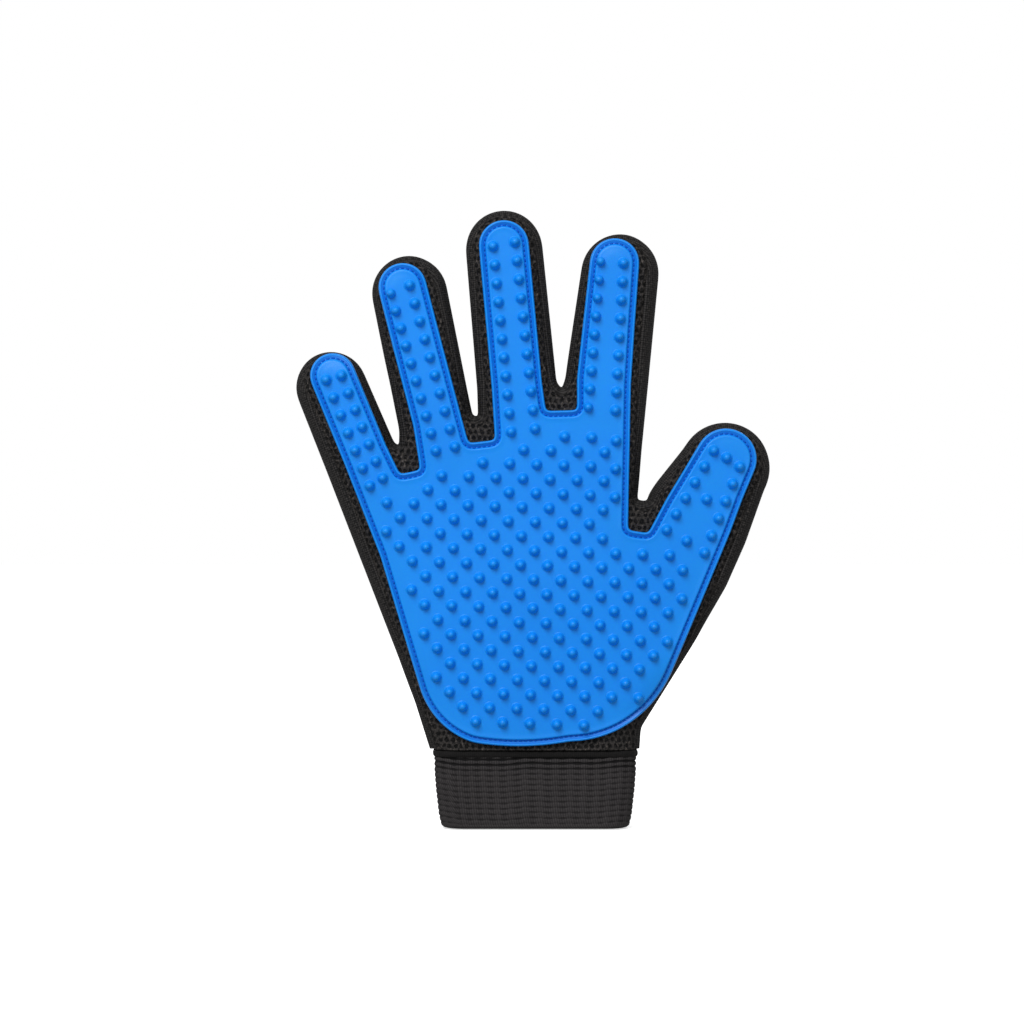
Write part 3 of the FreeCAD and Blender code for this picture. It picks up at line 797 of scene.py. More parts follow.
def thick_piece(name, faces, strip_layer, slot_name):
    """A closed piece of cloth from some faces of the skin."""
    corners = {}
    for face in faces:
        for vertex in face.verts:
            corners.setdefault(vertex.index, vertex)
    order = list(corners.values())
    number = {vertex.index: index for index, vertex in enumerate(order)}
    outer = np.array([tuple(vertex.co) for vertex in order])
    normal = np.array([tuple(vertex.normal) for vertex in order])
    strip = np.array([tuple(vertex[strip_layer]) for vertex in order])
    count = len(order)
    made = [[number[vertex.index] for vertex in face.verts] for face in faces]
    own = {face.index for face in faces}
    quads, sharp = [], []
    for face in faces:
        for loop in face.loops:
            shared = any(other.index in own for other in loop.edge.link_faces if other is not face)
            if shared:
                continue
            start, stop = number[loop.vert.index], number[loop.link_loop_next.vert.index]
            quads.append([stop, start, start + count, stop + count])
            sharp += [(start, stop), (start + count, stop + count)]
    inner = [[corner + count for corner in face[::-1]] for face in made]
    points = np.vstack((outer, outer - normal * CLOTH_THICK))
    obj = make_object(name, points, made + inner + quads, np.vstack((strip, strip)), sharp)
    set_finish(obj, slot_name)
    return obj


def build_fabric():
    """Front, back and gusset pieces of the palm and the fingers, cut from one skin."""
    points, faces, lifts, strip, tags = build_skin()
    mesh, strip_layer, tag_layer = load_bmesh(points, faces, strip, tags)
    for vertex, lift in zip(mesh.verts, lifts.tolist()):
        vertex.co += vertex.normal * lift
    cut_planes(mesh, 0.7 * MM)
    mesh.normal_update()
    for sequence in (mesh.verts, mesh.edges, mesh.faces):
        sequence.index_update()
    owner = segment_of(face_centres(mesh))
    groups = {}
    for face, number in zip(mesh.faces, owner.tolist()):
        segment = SEGMENT_NAMES[number]
        tag = face[tag_layer]
        if tag == GUSSET:
            travel = sum(vertex[strip_layer].x for vertex in face.verts) / len(face.verts)
            node, slot_name = gusset_node(segment, travel), "gusset"
        elif tag == FRONT:
            node = "palm_front_panel" if segment == "palm" else f"{segment}_front"
            slot_name = "mesh"
        else:
            node = "palm_back_panel" if segment == "palm" else f"{segment}_back"
            slot_name = "knit"
        groups.setdefault((segment, node, slot_name), []).append(face)
    for (segment, node, slot_name), members in groups.items():
        obj = thick_piece(f"{node}_cloth", members, strip_layer, slot_name)
        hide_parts(node)
        if node == "finger_crotch_gussets":
            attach(obj, "palm")
        else:
            bend(obj, segment)
    mesh.free()


# ------------------------------------------------------------------ silicone pads

# Distance inside the pad's edge and height above the cloth: a bead on the edge, a sunken band
# with the groove of the stitching, and the lip where the field of nubs begins.
PAD_SECTION = np.array((
    (0.0, 0.8), (0.08, 1.35), (0.25, 1.85), (0.5, 2.05), (0.75, 1.95), (0.95, 1.6), (1.35, 1.45),
    (1.6, 1.2), (1.9, 0.95), (2.2, 1.2), (2.38, 1.75), (2.58, 2.08), (2.9, 2.1), (3.4, 1.97), (4.6, 1.95),
)) * MM
GROOVE = 1.9 * MM                # distance of the stitched groove inside the pad's edge
NUB_KEEP = 2.25 * MM             # the nubs' feet stay this far inside it
PAD_SINK = 0.25 * MM
PAD_FOLLOW = 0.6                 # how much of the glove's roundness the pads take
NUB_SECTION = np.array((
    (2.35, -0.5), (2.35, -0.02), (2.1, 0.04), (1.93, 0.16), (1.8, 0.4), (1.66, 0.85), (1.5, 1.4),
    (1.32, 2.0), (1.12, 2.5), (0.86, 2.9), (0.48, 3.2),
)) * MM
NUB_TIP = 3.32 * MM
NUB_SIDES = 18


def pad_base(spots):
    """Depth of the surface that the pads are laid on; they bend less than the cloth."""
    flat = front_face(spots)
    return flat + PAD_FOLLOW * (front_surface(spots) - flat)


def pad_surface(spots):
    """Depth of the pads' outer face at points inside their edge."""
    gap, _ = nearest_on(spots, PAD_EDGE, True)
    return pad_base(spots) - np.interp(gap, PAD_SECTION[:, 0], PAD_SECTION[:, 1])


def pad_shell():
    """The pads of the whole hand as one closed shell, without nubs."""
    normals = inward(PAD_EDGE, closed=True)
    columns = len(PAD_EDGE)
    under = front_surface(PAD_EDGE) + PAD_SINK
    rings = [on_side(PAD_EDGE, under)]
    for inset, height in PAD_SECTION:
        spots = PAD_EDGE + normals * inset
        rings.append(on_side(spots, pad_base(spots) - height))
    rows = len(rings)
    points = [np.vstack(rings)]
    faces = grid_faces(rows, columns, closed=True, flip=True)
    total = rows * columns
    for loop, base, pitch, front in (
        (spots, (rows - 1) * columns, 2.4 * MM, True),
        (PAD_EDGE, 0, 4.5 * MM, False),
    ):
        fresh, triangles = cap(loop, columns, base, total, pitch, 0.45 * pitch, flip=not front)
        if front:
            depth = pad_base(fresh) - PAD_SECTION[-1, 1] - 0.04 * MM * ripple(fresh, 33, 9 * MM)
        else:
            depth = front_surface(fresh) + PAD_SINK
        points.append(on_side(fresh, depth))
        total += len(fresh)
        faces += triangles
    return np.vstack(points), faces


def nub_mesh(centres):
    """Blunt rubber nubs with a flared foot that lies on the pad."""
    gap, _ = nearest_on(centres, PAD_EDGE, True)
    angles = np.arange(NUB_SIDES) * 2 * math.pi / NUB_SIDES
    way = np.stack((np.cos(angles), np.sin(angles)), 1)
    room = np.maximum(gap - NUB_KEEP, 1.75 * MM)
    points, faces = [], []
    stride = len(NUB_SECTION) * NUB_SIDES + 1
    rings = []
    for row, (radius, height) in enumerate(NUB_SECTION):
        size = np.minimum(radius, room * (1 - 0.02 * row))
        spots = (centres[:, None] + size[:, None, None] * way[None]).reshape(-1, 2)
        depth = pad_surface(spots) - height
        rings.append(on_side(spots, depth).reshape(len(centres), NUB_SIDES, 3))
    tops = on_side(centres, pad_surface(centres) - NUB_TIP)
    body = grid_faces(len(NUB_SECTION), NUB_SIDES, closed=True)
    last = (len(NUB_SECTION) - 1) * NUB_SIDES
    body += [[last + side, last + (side + 1) % NUB_SIDES, stride - 1] for side in range(NUB_SIDES)]
    body.append(list(range(NUB_SIDES))[::-1])
    stack = np.stack(rings, 1).reshape(len(centres), -1, 3)
    for number in range(len(centres)):
        points.append(np.vstack((stack[number], tops[number:number + 1])))
        faces += [[number * stride + corner for corner in face] for face in body]
    return np.vstack(points), faces


def build_pads():
    points, faces = pad_shell()
    mesh, _, _ = load_bmesh(points, faces, np.zeros((len(points), 3)), np.zeros(len(faces), int))
    cut_planes(mesh, 0.7 * MM)
    mesh.verts.index_update()
    mesh.faces.index_update()
    coordinates = np.array([tuple(vertex.co) for vertex in mesh.verts])
    corners = [[vertex.index for vertex in face.verts] for face in mesh.faces]
    owner = segment_of(face_centres(mesh))
    mesh.free()
    nub_owner = segment_of(NUBS)
    for number, segment in enumerate(SEGMENT_NAMES):
        members = [corners[index] for index in np.flatnonzero(owner == number)]
        used = sorted({corner for face in members for corner in face})
        place = {corner: index for index, corner in enumerate(used)}
        members = [[place[corner] for corner in face] for face in members]
        rims = open_rims(members)
        shell = coordinates[used]
        nubs, nub_faces = nub_mesh(NUBS[nub_owner == number])
        nub_faces = [[corner + len(shell) for corner in face] for face in nub_faces]
        sharp = [edge for rim in rims for edge in zip(rim, rim[1:] + rim[:1])]
        both = np.vstack((shell, nubs))
        gap, _ = nearest_on(both[:, [0, 2]], PAD_EDGE, True)
        obj = make_object(
            f"{segment}_pad_silicone",
            both,
            members + [rim[::-1] for rim in rims] + nub_faces,
            strip=np.stack((gap, gap * 0, gap * 0), 1),
            sharp=sharp,
        )
        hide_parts(f"{segment}_pad")
        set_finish(obj, "silicone")
        bend(obj, segment)


def open_rims(faces):
    """Closed loops of the edges that only one face uses."""
    half_edges = {(a, b) for face in faces for a, b in zip(face, face[1:] + face[:1])}
    following = {}
    for start, stop in sorted(half_edges):
        if (stop, start) not in half_edges:
            following.setdefault(start, []).append(stop)
    rims = []
    while any(following.values()):
        first = next(start for start, stops in following.items() if stops)
        rim, stop = [first], following[first].pop()
        while stop != first:
            rim.append(stop)
            stop = following[stop].pop()
        rims.append(rim)
    return rims


# ------------------------------------------------------------------ stitching

STITCH_RISE = np.array((-0.35, 0.1, 0.2, 0.1, -0.35)) * MM
PAD_THREAD = 0.3 * MM            # radius of the thread
SEAM_THREAD = 0.24 * MM


def stitch_lines(spots, depth_of, closed, pitch, length):
    """Centre lines of short stitches laid along a curve in x and z, dipping in at both ends."""
    line = resample(spots, 0.1 * MM, closed)
    steps = np.linalg.norm(np.diff(line, axis=0), axis=1)
    travel = np.concatenate(([0.0], np.cumsum(steps)))
    starts = np.arange(0.5 * pitch, travel[-1] - length, pitch)
    along = starts[:, None] + length * np.linspace(0, 1, len(STITCH_RISE))[None]
    flat = np.stack([np.interp(along, travel, line[:, axis]) for axis in (0, 1)], 2)
    depth = depth_of(flat.reshape(-1, 2)).reshape(along.shape)
    return np.stack((flat[..., 0], depth, flat[..., 1]), 2)


def build_stitches(label, lines, upward, radius, slot_name):
    """One object of stitches per segment of the hand."""
    owner = segment_of(lines[:, len(STITCH_RISE) // 2][:, [0, 2]])
    lines = lines + upward * STITCH_RISE[None, :, None]
    made = []
    for number, segment in enumerate(SEGMENT_NAMES):
        mine = owner == number
        points, faces = tubes(lines[mine], upward[mine], radius)
        obj = make_object(f"{segment}_{label}", points, faces)
        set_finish(obj, slot_name)
        bend(obj, segment)
        made.append(obj)
    return made


def pad_stitches():
    normals = inward(PAD_EDGE, closed=True)
    line = PAD_EDGE + normals * GROOVE
    lines = stitch_lines(line, pad_surface, True, 1.8 * MM, 1.45 * MM)
    upward = np.tile(np.array((0.0, -1.0, 0.0)), (len(lines), 1, 1))
    return build_stitches("pad_stitches", lines, upward, PAD_THREAD, "silicone")


def seam_stitches(front):
    """Stitches beside the seam between the gusset and the front or the back."""
    seam = seam_inset() if front else np.full(len(PATH), BACK_SEAM_INSET)
    inset = seam + 1.2 * MM
    line = PATH + path_inward() * inset[:, None]

    relief = -0.25 * MM if front else 0.05 * MM

    def depth_of(spots):
        distance, number = nearest_on(spots, PATH, False)
        return skin_depth(spots, distance / PATH_ROUND[number], front) + relief

    lines = stitch_lines(line, depth_of, False, 2.9 * MM, 1.9 * MM)
    middle = lines[:, len(STITCH_RISE) // 2]
    step = 0.3 * MM
    spots = middle[:, [0, 2]]
    here = depth_of(spots)
    slope_x = (depth_of(spots + (step, 0)) - here) / step
    slope_z = (depth_of(spots + (0, step)) - here) / step
    upward = unit(np.stack((slope_x, -np.ones(len(spots)), slope_z), 1))
    if not front:
        upward = -upward
    side = "front" if front else "back"
    return build_stitches(f"{side}_seam_stitches", lines, upward[:, None], SEAM_THREAD, "gusset")


# ------------------------------------------------------------------ cuff

_, CUFF_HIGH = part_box("cuff_band")
CUFF_TOP = CUFF_HIGH.z
CUFF_CORNER = 8.0 * MM
CUFF_LEVELS = np.array((0, 0.8, 2, 5, 9, 14, 20, 28)) * MM
CUFF_SHRINK = np.array((3.4, 2.6, 2.2, 1.6, 1.15, 0.6, 0.15, 0.0)) * MM
RIB_PITCH = 1.95 * MM
RIB_DEPTH = 0.42 * MM
CUFF_WALL = 1.8 * MM


def cuff_ring(level, columns):
    """Points round the cuff at a level, with their normals and their distance round it."""
    shrink = np.interp(level, CUFF_LEVELS, CUFF_SHRINK)
    half = CUFF_HIGH.x - shrink
    depth = CUFF_HIGH.y - 0.35 * shrink
    corner = CUFF_CORNER
    straight_x, straight_y = 2 * (half - corner), 2 * (depth - corner)
    quarter = corner * math.pi / 2
    lengths = (straight_x, quarter, straight_y, quarter, straight_x, quarter, straight_y, quarter)
    stops = np.cumsum((0.0,) + lengths)
    goal = np.arange(columns) * stops[-1] / columns
    edge = np.searchsorted(stops, goal, "right") - 1
    within = goal - stops[edge]
    centre = np.array(((-1, -1), (1, -1), (1, -1), (1, 1), (1, 1), (-1, 1), (-1, 1), (-1, -1)))
    centre = centre[edge] * np.array((half - corner, depth - corner))
    turn = np.array((-90, -90, 0, 0, 90, 90, 180, 180))[edge] * math.pi / 180
    angle = turn + np.where(edge % 2 == 1, within / corner, 0.0)
    normal = np.stack((np.cos(angle), np.sin(angle)), 1)
    forward = np.stack((-normal[:, 1], normal[:, 0]), 1)
    run = np.where(edge % 2 == 0, within, 0.0)
    spots = centre + corner * normal + forward * run[:, None]
    return spots, normal, goal


def cuff_tube(name, levels, outward, columns, slot_name, node):
    """A closed loop of cloth round the cuff, from rows of level and outward distance.

    Its strip coordinates are the distance round the cuff, the level and the depth of a groove.
    """
    rows, strips = [], []
    for level, grow in zip(levels, outward):
        spots, normal, goal = cuff_ring(level, columns)
        grow = np.broadcast_to(grow, (columns,))
        spots = spots + normal * grow[:, None]
        height = np.full(columns, level)
        rows.append(np.stack((spots[:, 0], spots[:, 1], height), 1))
        strips.append(np.stack((goal, height, np.maximum(0.0, -grow)), 1))
    count = len(rows)
    faces = grid_faces(count + 1, columns, closed=True)
    faces = [[corner % (count * columns) for corner in face] for face in faces]
    obj = make_object(name, np.vstack(rows), faces, np.vstack(strips))
    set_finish(obj, slot_name)
    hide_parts(node)
    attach(obj, "cuff")


def build_cuff():
    """The elastic cuff: ribs all round, that wander a little, and a folded bottom edge."""
    columns = 420
    turn = 2 * math.pi * np.arange(columns) / columns
    wander = 0.22 * np.sin(2 * turn + 0.6) + 0.16 * np.sin(5 * turn) + 0.07 * np.sin(11 * turn + 1.3)
    levels, outward = [], []
    for z in np.linspace(0.9 * MM, CUFF_TOP - 0.25 * MM, 116):
        share = smoothstep(z / (3 * MM)) * smoothstep((CUFF_TOP - z) / (1.2 * MM))
        phase = (z / RIB_PITCH + wander * share) * 2 * math.pi
        wave = 0.5 + 0.5 * np.cos(phase)
        near_top = smoothstep((z - 20 * MM) / (3 * MM))
        deep = RIB_DEPTH * (0.62 + 0.55 * near_top) * share
        groove = deep * wave ** (3.2 - 1.2 * near_top)
        pucker = 0.1 * MM * np.sin(38 * turn + 2 * np.sin(3 * turn)) * share
        levels.append(z)
        outward.append(-groove + pucker)
    inner = np.linspace(CUFF_TOP, 0.0, 24)
    levels += [CUFF_TOP] + list(inner) + [0.0, 0.25 * MM]
    outward += [-0.5 * MM] + [-CUFF_WALL] * len(inner) + [-0.9 * MM, -0.25 * MM]
    cuff_tube("cuff_band_elastic", levels, outward, columns, "elastic", "cuff_band")


def build_tapes():
    """The rolled tape over the wrist seam and the hem tape inside the cuff's bottom edge."""
    columns = 240
    turn = 2 * math.pi * np.arange(columns) / columns
    wrist_low, wrist_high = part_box("wrist_seam_tape")
    angles = np.linspace(0, 2 * math.pi, 15)[:-1]
    middle = (wrist_low.z + wrist_high.z) / 2
    half = (wrist_high.z - wrist_low.z) / 2
    ripples = 0.09 * MM * np.sin(46 * turn)
    levels = [middle + half * math.sin(angle) for angle in angles]
    outward = [-0.15 * MM + 0.65 * MM * math.cos(angle) + ripples for angle in angles]
    cuff_tube("wrist_seam_tape_roll", levels, outward, columns, "tape", "wrist_seam_tape")
    hem_low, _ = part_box("cuff_hem_tape")
    section = (
        (-1.75, 0.1), (-1.75, 2.9), (-1.95, 3.0), (-2.45, 2.95), (-2.6, 2.75), (-2.6, 0.25), (-2.4, 0.05),
    )
    levels = [hem_low.z + height * MM for _, height in section]
    outward = [inset * MM + 0.04 * MM * np.sin(60 * turn) for inset, _ in section]
    cuff_tube("cuff_hem_tape_band", levels, outward, columns, "tape", "cuff_hem_tape")


# ------------------------------------------------------------------ strap


WEAVE_PITCH = 0.5 * MM
SUNK_IN_CUFF = 0.3 * MM          # the strap's base and the loop patch sink into the elastic


def rounded_box(low, high, left, right):
    """A box's clockwise outline in x and z, with one corner radius at each end."""
    corners = (
        (low.x + left, high.z - left, left, 180), (high.x - right, high.z - right, right, 90),
        (high.x - right, low.z + right, right, 0), (low.x + left, low.z + left, left, -90),
    )
    points = []
    for x, z, radius, start in corners:
        for angle in np.radians(np.linspace(start, start - 90, 12)):
            points.append((x + radius * math.cos(angle), z + radius * math.sin(angle)))
    return resample(np.array(points), 0.5 * MM, closed=True)


def slab(outline, low, high, pitch, relief):
    """A flat piece with round edges; relief(spots) is the height of its weave on both faces."""
    normals = inward(outline, closed=True)
    columns = len(outline)
    half, middle = (high - low) / 2, (high + low) / 2
    rings = []
    for angle in np.radians(np.linspace(-90, 90, 7)):
        spots = outline + normals * half * (1 - math.cos(angle))
        rings.append(on_side(spots, np.full(columns, middle + half * math.sin(angle))))
    points = [np.vstack(rings)]
    faces = grid_faces(len(rings), columns, closed=True)
    total = len(rings) * columns
    for base, front in ((0, True), ((len(rings) - 1) * columns, False)):
        loop = outline + normals * half
        fresh, triangles = cap(loop, columns, base, total, pitch, 0.5 * pitch, flip=not front)
        height = relief(fresh)
        points.append(on_side(fresh, low - height if front else high + height))
        total += len(fresh)
        faces += triangles
    return np.vstack(points), faces


def together(parts):
    """Several meshes as one list of points and faces."""
    points, faces, total = [], [], 0
    for some_points, some_faces in parts:
        points.append(some_points)
        faces += [[corner + total for corner in face] for face in some_faces]
        total += len(some_points)
    return np.vstack(points), faces


def loop_relief(spots):
    """Slack of the backing of the loop patch."""
    return 0.04 * MM * ripple(spots, 2, 2 * MM)


def hook_relief(spots):
    """Slack of the backing of the hook patch."""
    return 0.02 * MM * ripple(spots, 3, 3 * MM)


def webbing_relief(spots):
    """Weave of narrow webbing: cords along the strap that pass over and under in turn."""
    across = np.sin(2 * math.pi * spots[:, 1] / (1.9 * MM))
    along = np.sin(2 * math.pi * spots[:, 0] / (1.5 * MM) + math.pi * (across > 0))
    return 0.07 * MM * np.abs(across) * (1 + along)


def straight_stitches(corners, depth):
    """Stitches along a polyline on the outer face of the strap."""

    def depth_of(spots):
        return np.full(len(spots), depth)

    lines = stitch_lines(np.array(corners), depth_of, False, 2.6 * MM, 1.8 * MM)
    upward = np.tile(np.array((0.0, 1.0, 0.0)), (len(lines), 1, 1))
    return tubes(lines + upward * STITCH_RISE[None, :, None], upward, SEAM_THREAD)


def bows(centres, depth, outward, height, width, radius, seed):
    """Small arched threads that stand on a face."""
    dice = np.random.default_rng(seed)
    angles = dice.uniform(0, 2 * math.pi, len(centres))
    share = np.linspace(-1, 1, 5)
    lean = dice.uniform(-0.4, 0.4, len(centres)) * height
    flat = np.stack((np.cos(angles), np.sin(angles)), 1)
    spots = centres[:, None] + flat[:, None] * share[None, :, None] * width / 2
    rise = (1 - share ** 2) * height
    sideways = np.stack((-flat[:, 1], flat[:, 0]), 1)
    spots = spots + sideways[:, None] * rise[None, :, None] * (lean / height)[:, None, None]
    depths = np.broadcast_to(depth + outward * (rise - 0.1 * MM), spots.shape[:2])
    lines = np.stack((spots[..., 0], depths, spots[..., 1]), 2)
    upward = on_side(sideways, np.zeros(len(flat)))[:, None]
    return tubes(lines, upward, radius, sides=5)


def strap_piece(name, shape, slot_name, body, node=None):
    """A strap piece on its body, in place of its CAD node if it has one of its own."""
    obj = make_object(name, *shape)
    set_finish(obj, slot_name)
    if node:
        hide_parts(node)
    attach(obj, body)
    return obj


def build_strap():
    """Hook-and-loop wrist strap on the back of the cuff."""
    low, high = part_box("strap_tab")
    outline = rounded_box(low, high, 0.8 * MM, 7 * MM)
    tab = slab(outline, low.y, high.y, WEAVE_PITCH, webbing_relief)
    strap_piece("strap_tab_webbing", tab, "webbing", "strap", "strap_tab")
    base_low, base_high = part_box("strap_base")
    outline = rounded_box(base_low, base_high, 1.0 * MM, 0.9 * MM)
    middle = (base_low.y + base_high.y) / 2
    layers = together((
        slab(outline, base_low.y - SUNK_IN_CUFF, middle, WEAVE_PITCH, webbing_relief),
        slab(outline, middle, base_high.y, WEAVE_PITCH, webbing_relief),
    ))
    strap_piece("strap_base_webbing", layers, "webbing", "cuff", "strap_base")
    # The stitches keep clear of the fold, so the strap can lie back over its base.
    left, right = base_low.x + 1.2 * MM, base_high.x - 2.3 * MM
    bottom, top = base_low.z + 1.5 * MM, base_high.z - 1.5 * MM
    box_line = ((left, bottom), (right, bottom), (right, top), (left, top), (left, bottom), (right, top))
    seams = straight_stitches(box_line, base_high.y)
    strap_piece("strap_base_stitches", seams, "tape", "cuff")
    inset, turn = 1.7 * MM, 5.3 * MM
    start, end = low.x + 0.8 * MM, high.x - inset - turn
    bottom, top = low.z + inset, high.z - inset
    angles = np.linspace(0, math.pi / 2, 8)
    edge_line = [(start, bottom)]
    edge_line += [(end + turn * math.sin(a), bottom + turn - turn * math.cos(a)) for a in angles]
    edge_line += [(end + turn * math.sin(a), top - turn + turn * math.cos(a)) for a in angles[::-1]]
    edge_line += [(start, top)]
    seams = straight_stitches(edge_line, high.y + 0.1 * MM)
    strap_piece("strap_tab_stitches", seams, "tape", "strap")
    build_loop_patch()
    build_hook_patch()


def build_loop_patch():
    """Pile of small loops on a backing that is sewn to the cuff."""
    low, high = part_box("loop_patch")
    face = high.y - 0.25 * MM
    outline = rounded_box(low, high, 1.5 * MM, 5 * MM)
    field = hex_grid(outline.min(0), outline.max(0), 0.85 * MM)
    field = field[inside(field, outline + inward(outline, closed=True) * 0.8 * MM)]
    field = field + np.random.default_rng(5).normal(0, 0.15 * MM, field.shape)
    pile = bows(field, face, 1.0, 0.34 * MM, 0.75 * MM, 0.06 * MM, 8)
    backing = slab(outline, low.y - SUNK_IN_CUFF, face, 1.0 * MM, loop_relief)
    strap_piece("loop_patch_pile", together((backing, pile)), "loop", "cuff", "loop_patch")


def build_hook_patch():
    """Rows of small hooks under the end of the strap."""
    low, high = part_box("hook_patch")
    face = low.y + 0.4 * MM
    outline = rounded_box(low, high, 1.5 * MM, 5 * MM)
    field = hex_grid(outline.min(0), outline.max(0), 1.15 * MM)
    field = field[inside(field, outline + inward(outline, closed=True) * 0.9 * MM)]
    hooks = bows(field, face, -1.0, 0.4 * MM, 0.5 * MM, 0.09 * MM, 9)
    backing = slab(outline, face, high.y, 1.0 * MM, hook_relief)
    strap_piece("hook_patch_hooks", together((backing, hooks)), "hook", "strap", "hook_patch")


# ------------------------------------------------------------------ materials


class Surface:
    """A node material, built from small steps."""

    def __init__(self, name):
        self.material = bpy.data.materials.new(name)
        self.material.use_nodes = True
        self.tree = self.material.node_tree
        self.tree.nodes.clear()
        self.output = self.tree.nodes.new("ShaderNodeOutputMaterial")
        self.shader = self.tree.nodes.new("ShaderNodeBsdfPrincipled")
        self.tree.links.new(self.shader.outputs["BSDF"], self.output.inputs["Surface"])

    def put(self, socket, value):
        if isinstance(value, bpy.types.NodeSocket):
            self.tree.links.new(value, socket)
        elif isinstance(value, (tuple, list)) and socket.type == "RGBA" and len(value) == 3:
            socket.default_value = (*value, 1.0)
        else:
            socket.default_value = value

    def node(self, kind, inputs=(), **settings):
        made = self.tree.nodes.new(kind)
        for key, value in settings.items():
            setattr(made, key, value)
        for key, value in dict(inputs).items():
            self.put(made.inputs[key], value)
        return made

    def attribute(self, name):
        return self.node("ShaderNodeAttribute", attribute_name=name).outputs["Vector"]

    def math(self, operation, first, second=0.0):
        made = self.node("ShaderNodeMath", operation=operation)
        self.put(made.inputs[0], first)
        self.put(made.inputs[1], second)
        return made.outputs["Value"]

    def times(self, first, second):
        return self.math("MULTIPLY", first, second)

    def plus(self, first, second):
        return self.math("ADD", first, second)

    def waves(self, value, length):
        """Sine of a length in millimetres."""
        return self.math("SINE", self.times(value, 2 * math.pi / length))

    def separate(self, vector):
        return self.node("ShaderNodeSeparateXYZ", {"Vector": vector}).outputs

    def vector(self, operation, first, second=(0.0, 0.0, 0.0)):
        made = self.node("ShaderNodeVectorMath", operation=operation)
        self.put(made.inputs[0], first)
        self.put(made.inputs[1], second)
        return made.outputs["Value"] if operation == "LENGTH" else made.outputs["Vector"]

    def noise(self, where, scale, detail=2.0, roughness=0.5):
        inputs = {"Vector": where, "Scale": scale, "Detail": detail, "Roughness": roughness}
        return self.node("ShaderNodeTexNoise", inputs).outputs["Fac"]

    def cords(self, where, scale, distortion):
        inputs = {"Vector": where, "Scale": scale, "Distortion": distortion}
        return self.node("ShaderNodeTexWave", inputs).outputs["Fac"]

    def ramp(self, value, low, high, to_low=0.0, to_high=1.0):
        """Smooth step from one value to another."""
        made = self.node("ShaderNodeMapRange", interpolation_type="SMOOTHSTEP", clamp=True)
        settings = {"Value": value, "From Min": low, "From Max": high, "To Min": to_low, "To Max": to_high}
        for key, item in settings.items():
            self.put(made.inputs[key], item)
        return made.outputs["Result"]

    def mix(self, share, first, second):
        made = self.node("ShaderNodeMix", data_type="RGBA")
        self.put(made.inputs["Factor"], share)
        colours = [socket for socket in made.inputs if socket.type == "RGBA"]
        self.put(colours[0], first)
        self.put(colours[1], second)
        return [socket for socket in made.outputs if socket.type == "RGBA"][0]

    def hexes(self, where, pitch, stretch=1.0):
        """Distance in millimetres to the nearest point of a honeycomb lattice in x and y."""
        cell = (pitch, pitch * math.sqrt(3) * stretch, 1.0)
        inverse = tuple(1 / size for size in cell)
        best = None
        for shift in ((0.0, 0.0, 0.0), (0.5, 0.5, 0.0)):
            part = self.vector("FRACTION", self.vector("ADD", self.vector("MULTIPLY", where, inverse), shift))
            part = self.vector("SUBTRACT", part, (0.5, 0.5, 0.5))
            part = self.vector("MULTIPLY", part, (cell[0], cell[1] / stretch, 0.0))
            far = self.vector("LENGTH", part)
            best = far if best is None else self.math("MINIMUM", best, far)
        return best

    def finish(self, colour, roughness, height=None, depth=0.0, **extra):
        self.put(self.shader.inputs["Base Color"], colour)
        self.put(self.shader.inputs["Roughness"], roughness)
        for name, value in extra.items():
            self.put(self.shader.inputs[name.replace("_", " ")], value)
        if height is not None:
            bump = self.node("ShaderNodeBump", {"Height": height, "Strength": 1.0, "Distance": depth})
            self.put(self.shader.inputs["Normal"], bump.outputs["Normal"])
        return self.material




def silicone_material():
    """Satin blue silicone, with painted shade: a darker blue in the sunken band beside the pads' edge, where
    the stitched groove lies.
    """
    surface = Surface("blue_silicone")
    rest = surface.attribute("rest")
    gap = surface.separate(surface.attribute("strip"))["X"]
    slow = surface.noise(rest, 0.035, 2.0)
    fine = surface.noise(rest, 1.8, 3.0, 0.6)
    colour = surface.mix(slow, (0.001, 0.238, 0.82), (0.003, 0.282, 0.90))
    # Painted shade: the sunken band with the stitched groove is mixed towards a darker blue.
    band = surface.times(surface.ramp(gap, 0.7, 1.0), surface.ramp(gap, 2.1, 2.4, 1.0, 0.0))
    colour = surface.mix(surface.times(band, 0.6), colour, (0.001, 0.125, 0.60))
    rough = surface.ramp(fine, 0.3, 0.7, 0.36, 0.46)
    return surface.finish(
        colour, rough, fine, 0.03 * MM,
        Subsurface_Weight=0.08, Subsurface_Radius=(0.2, 0.5, 1.0), Subsurface_Scale=1.0 * MM,
        Specular_IOR_Level=0.3,
    )


def thread_material(name, colour, dark):
    surface = Surface(name)
    rest = surface.attribute("rest")
    twist = surface.cords(rest, 0.9, 1.5)
    grain = surface.noise(rest, 3.0, 2.0)
    shade = surface.mix(surface.times(twist, grain), dark, colour)
    return surface.finish(shade, 0.75, twist, 0.08 * MM, Specular_IOR_Level=0.2)


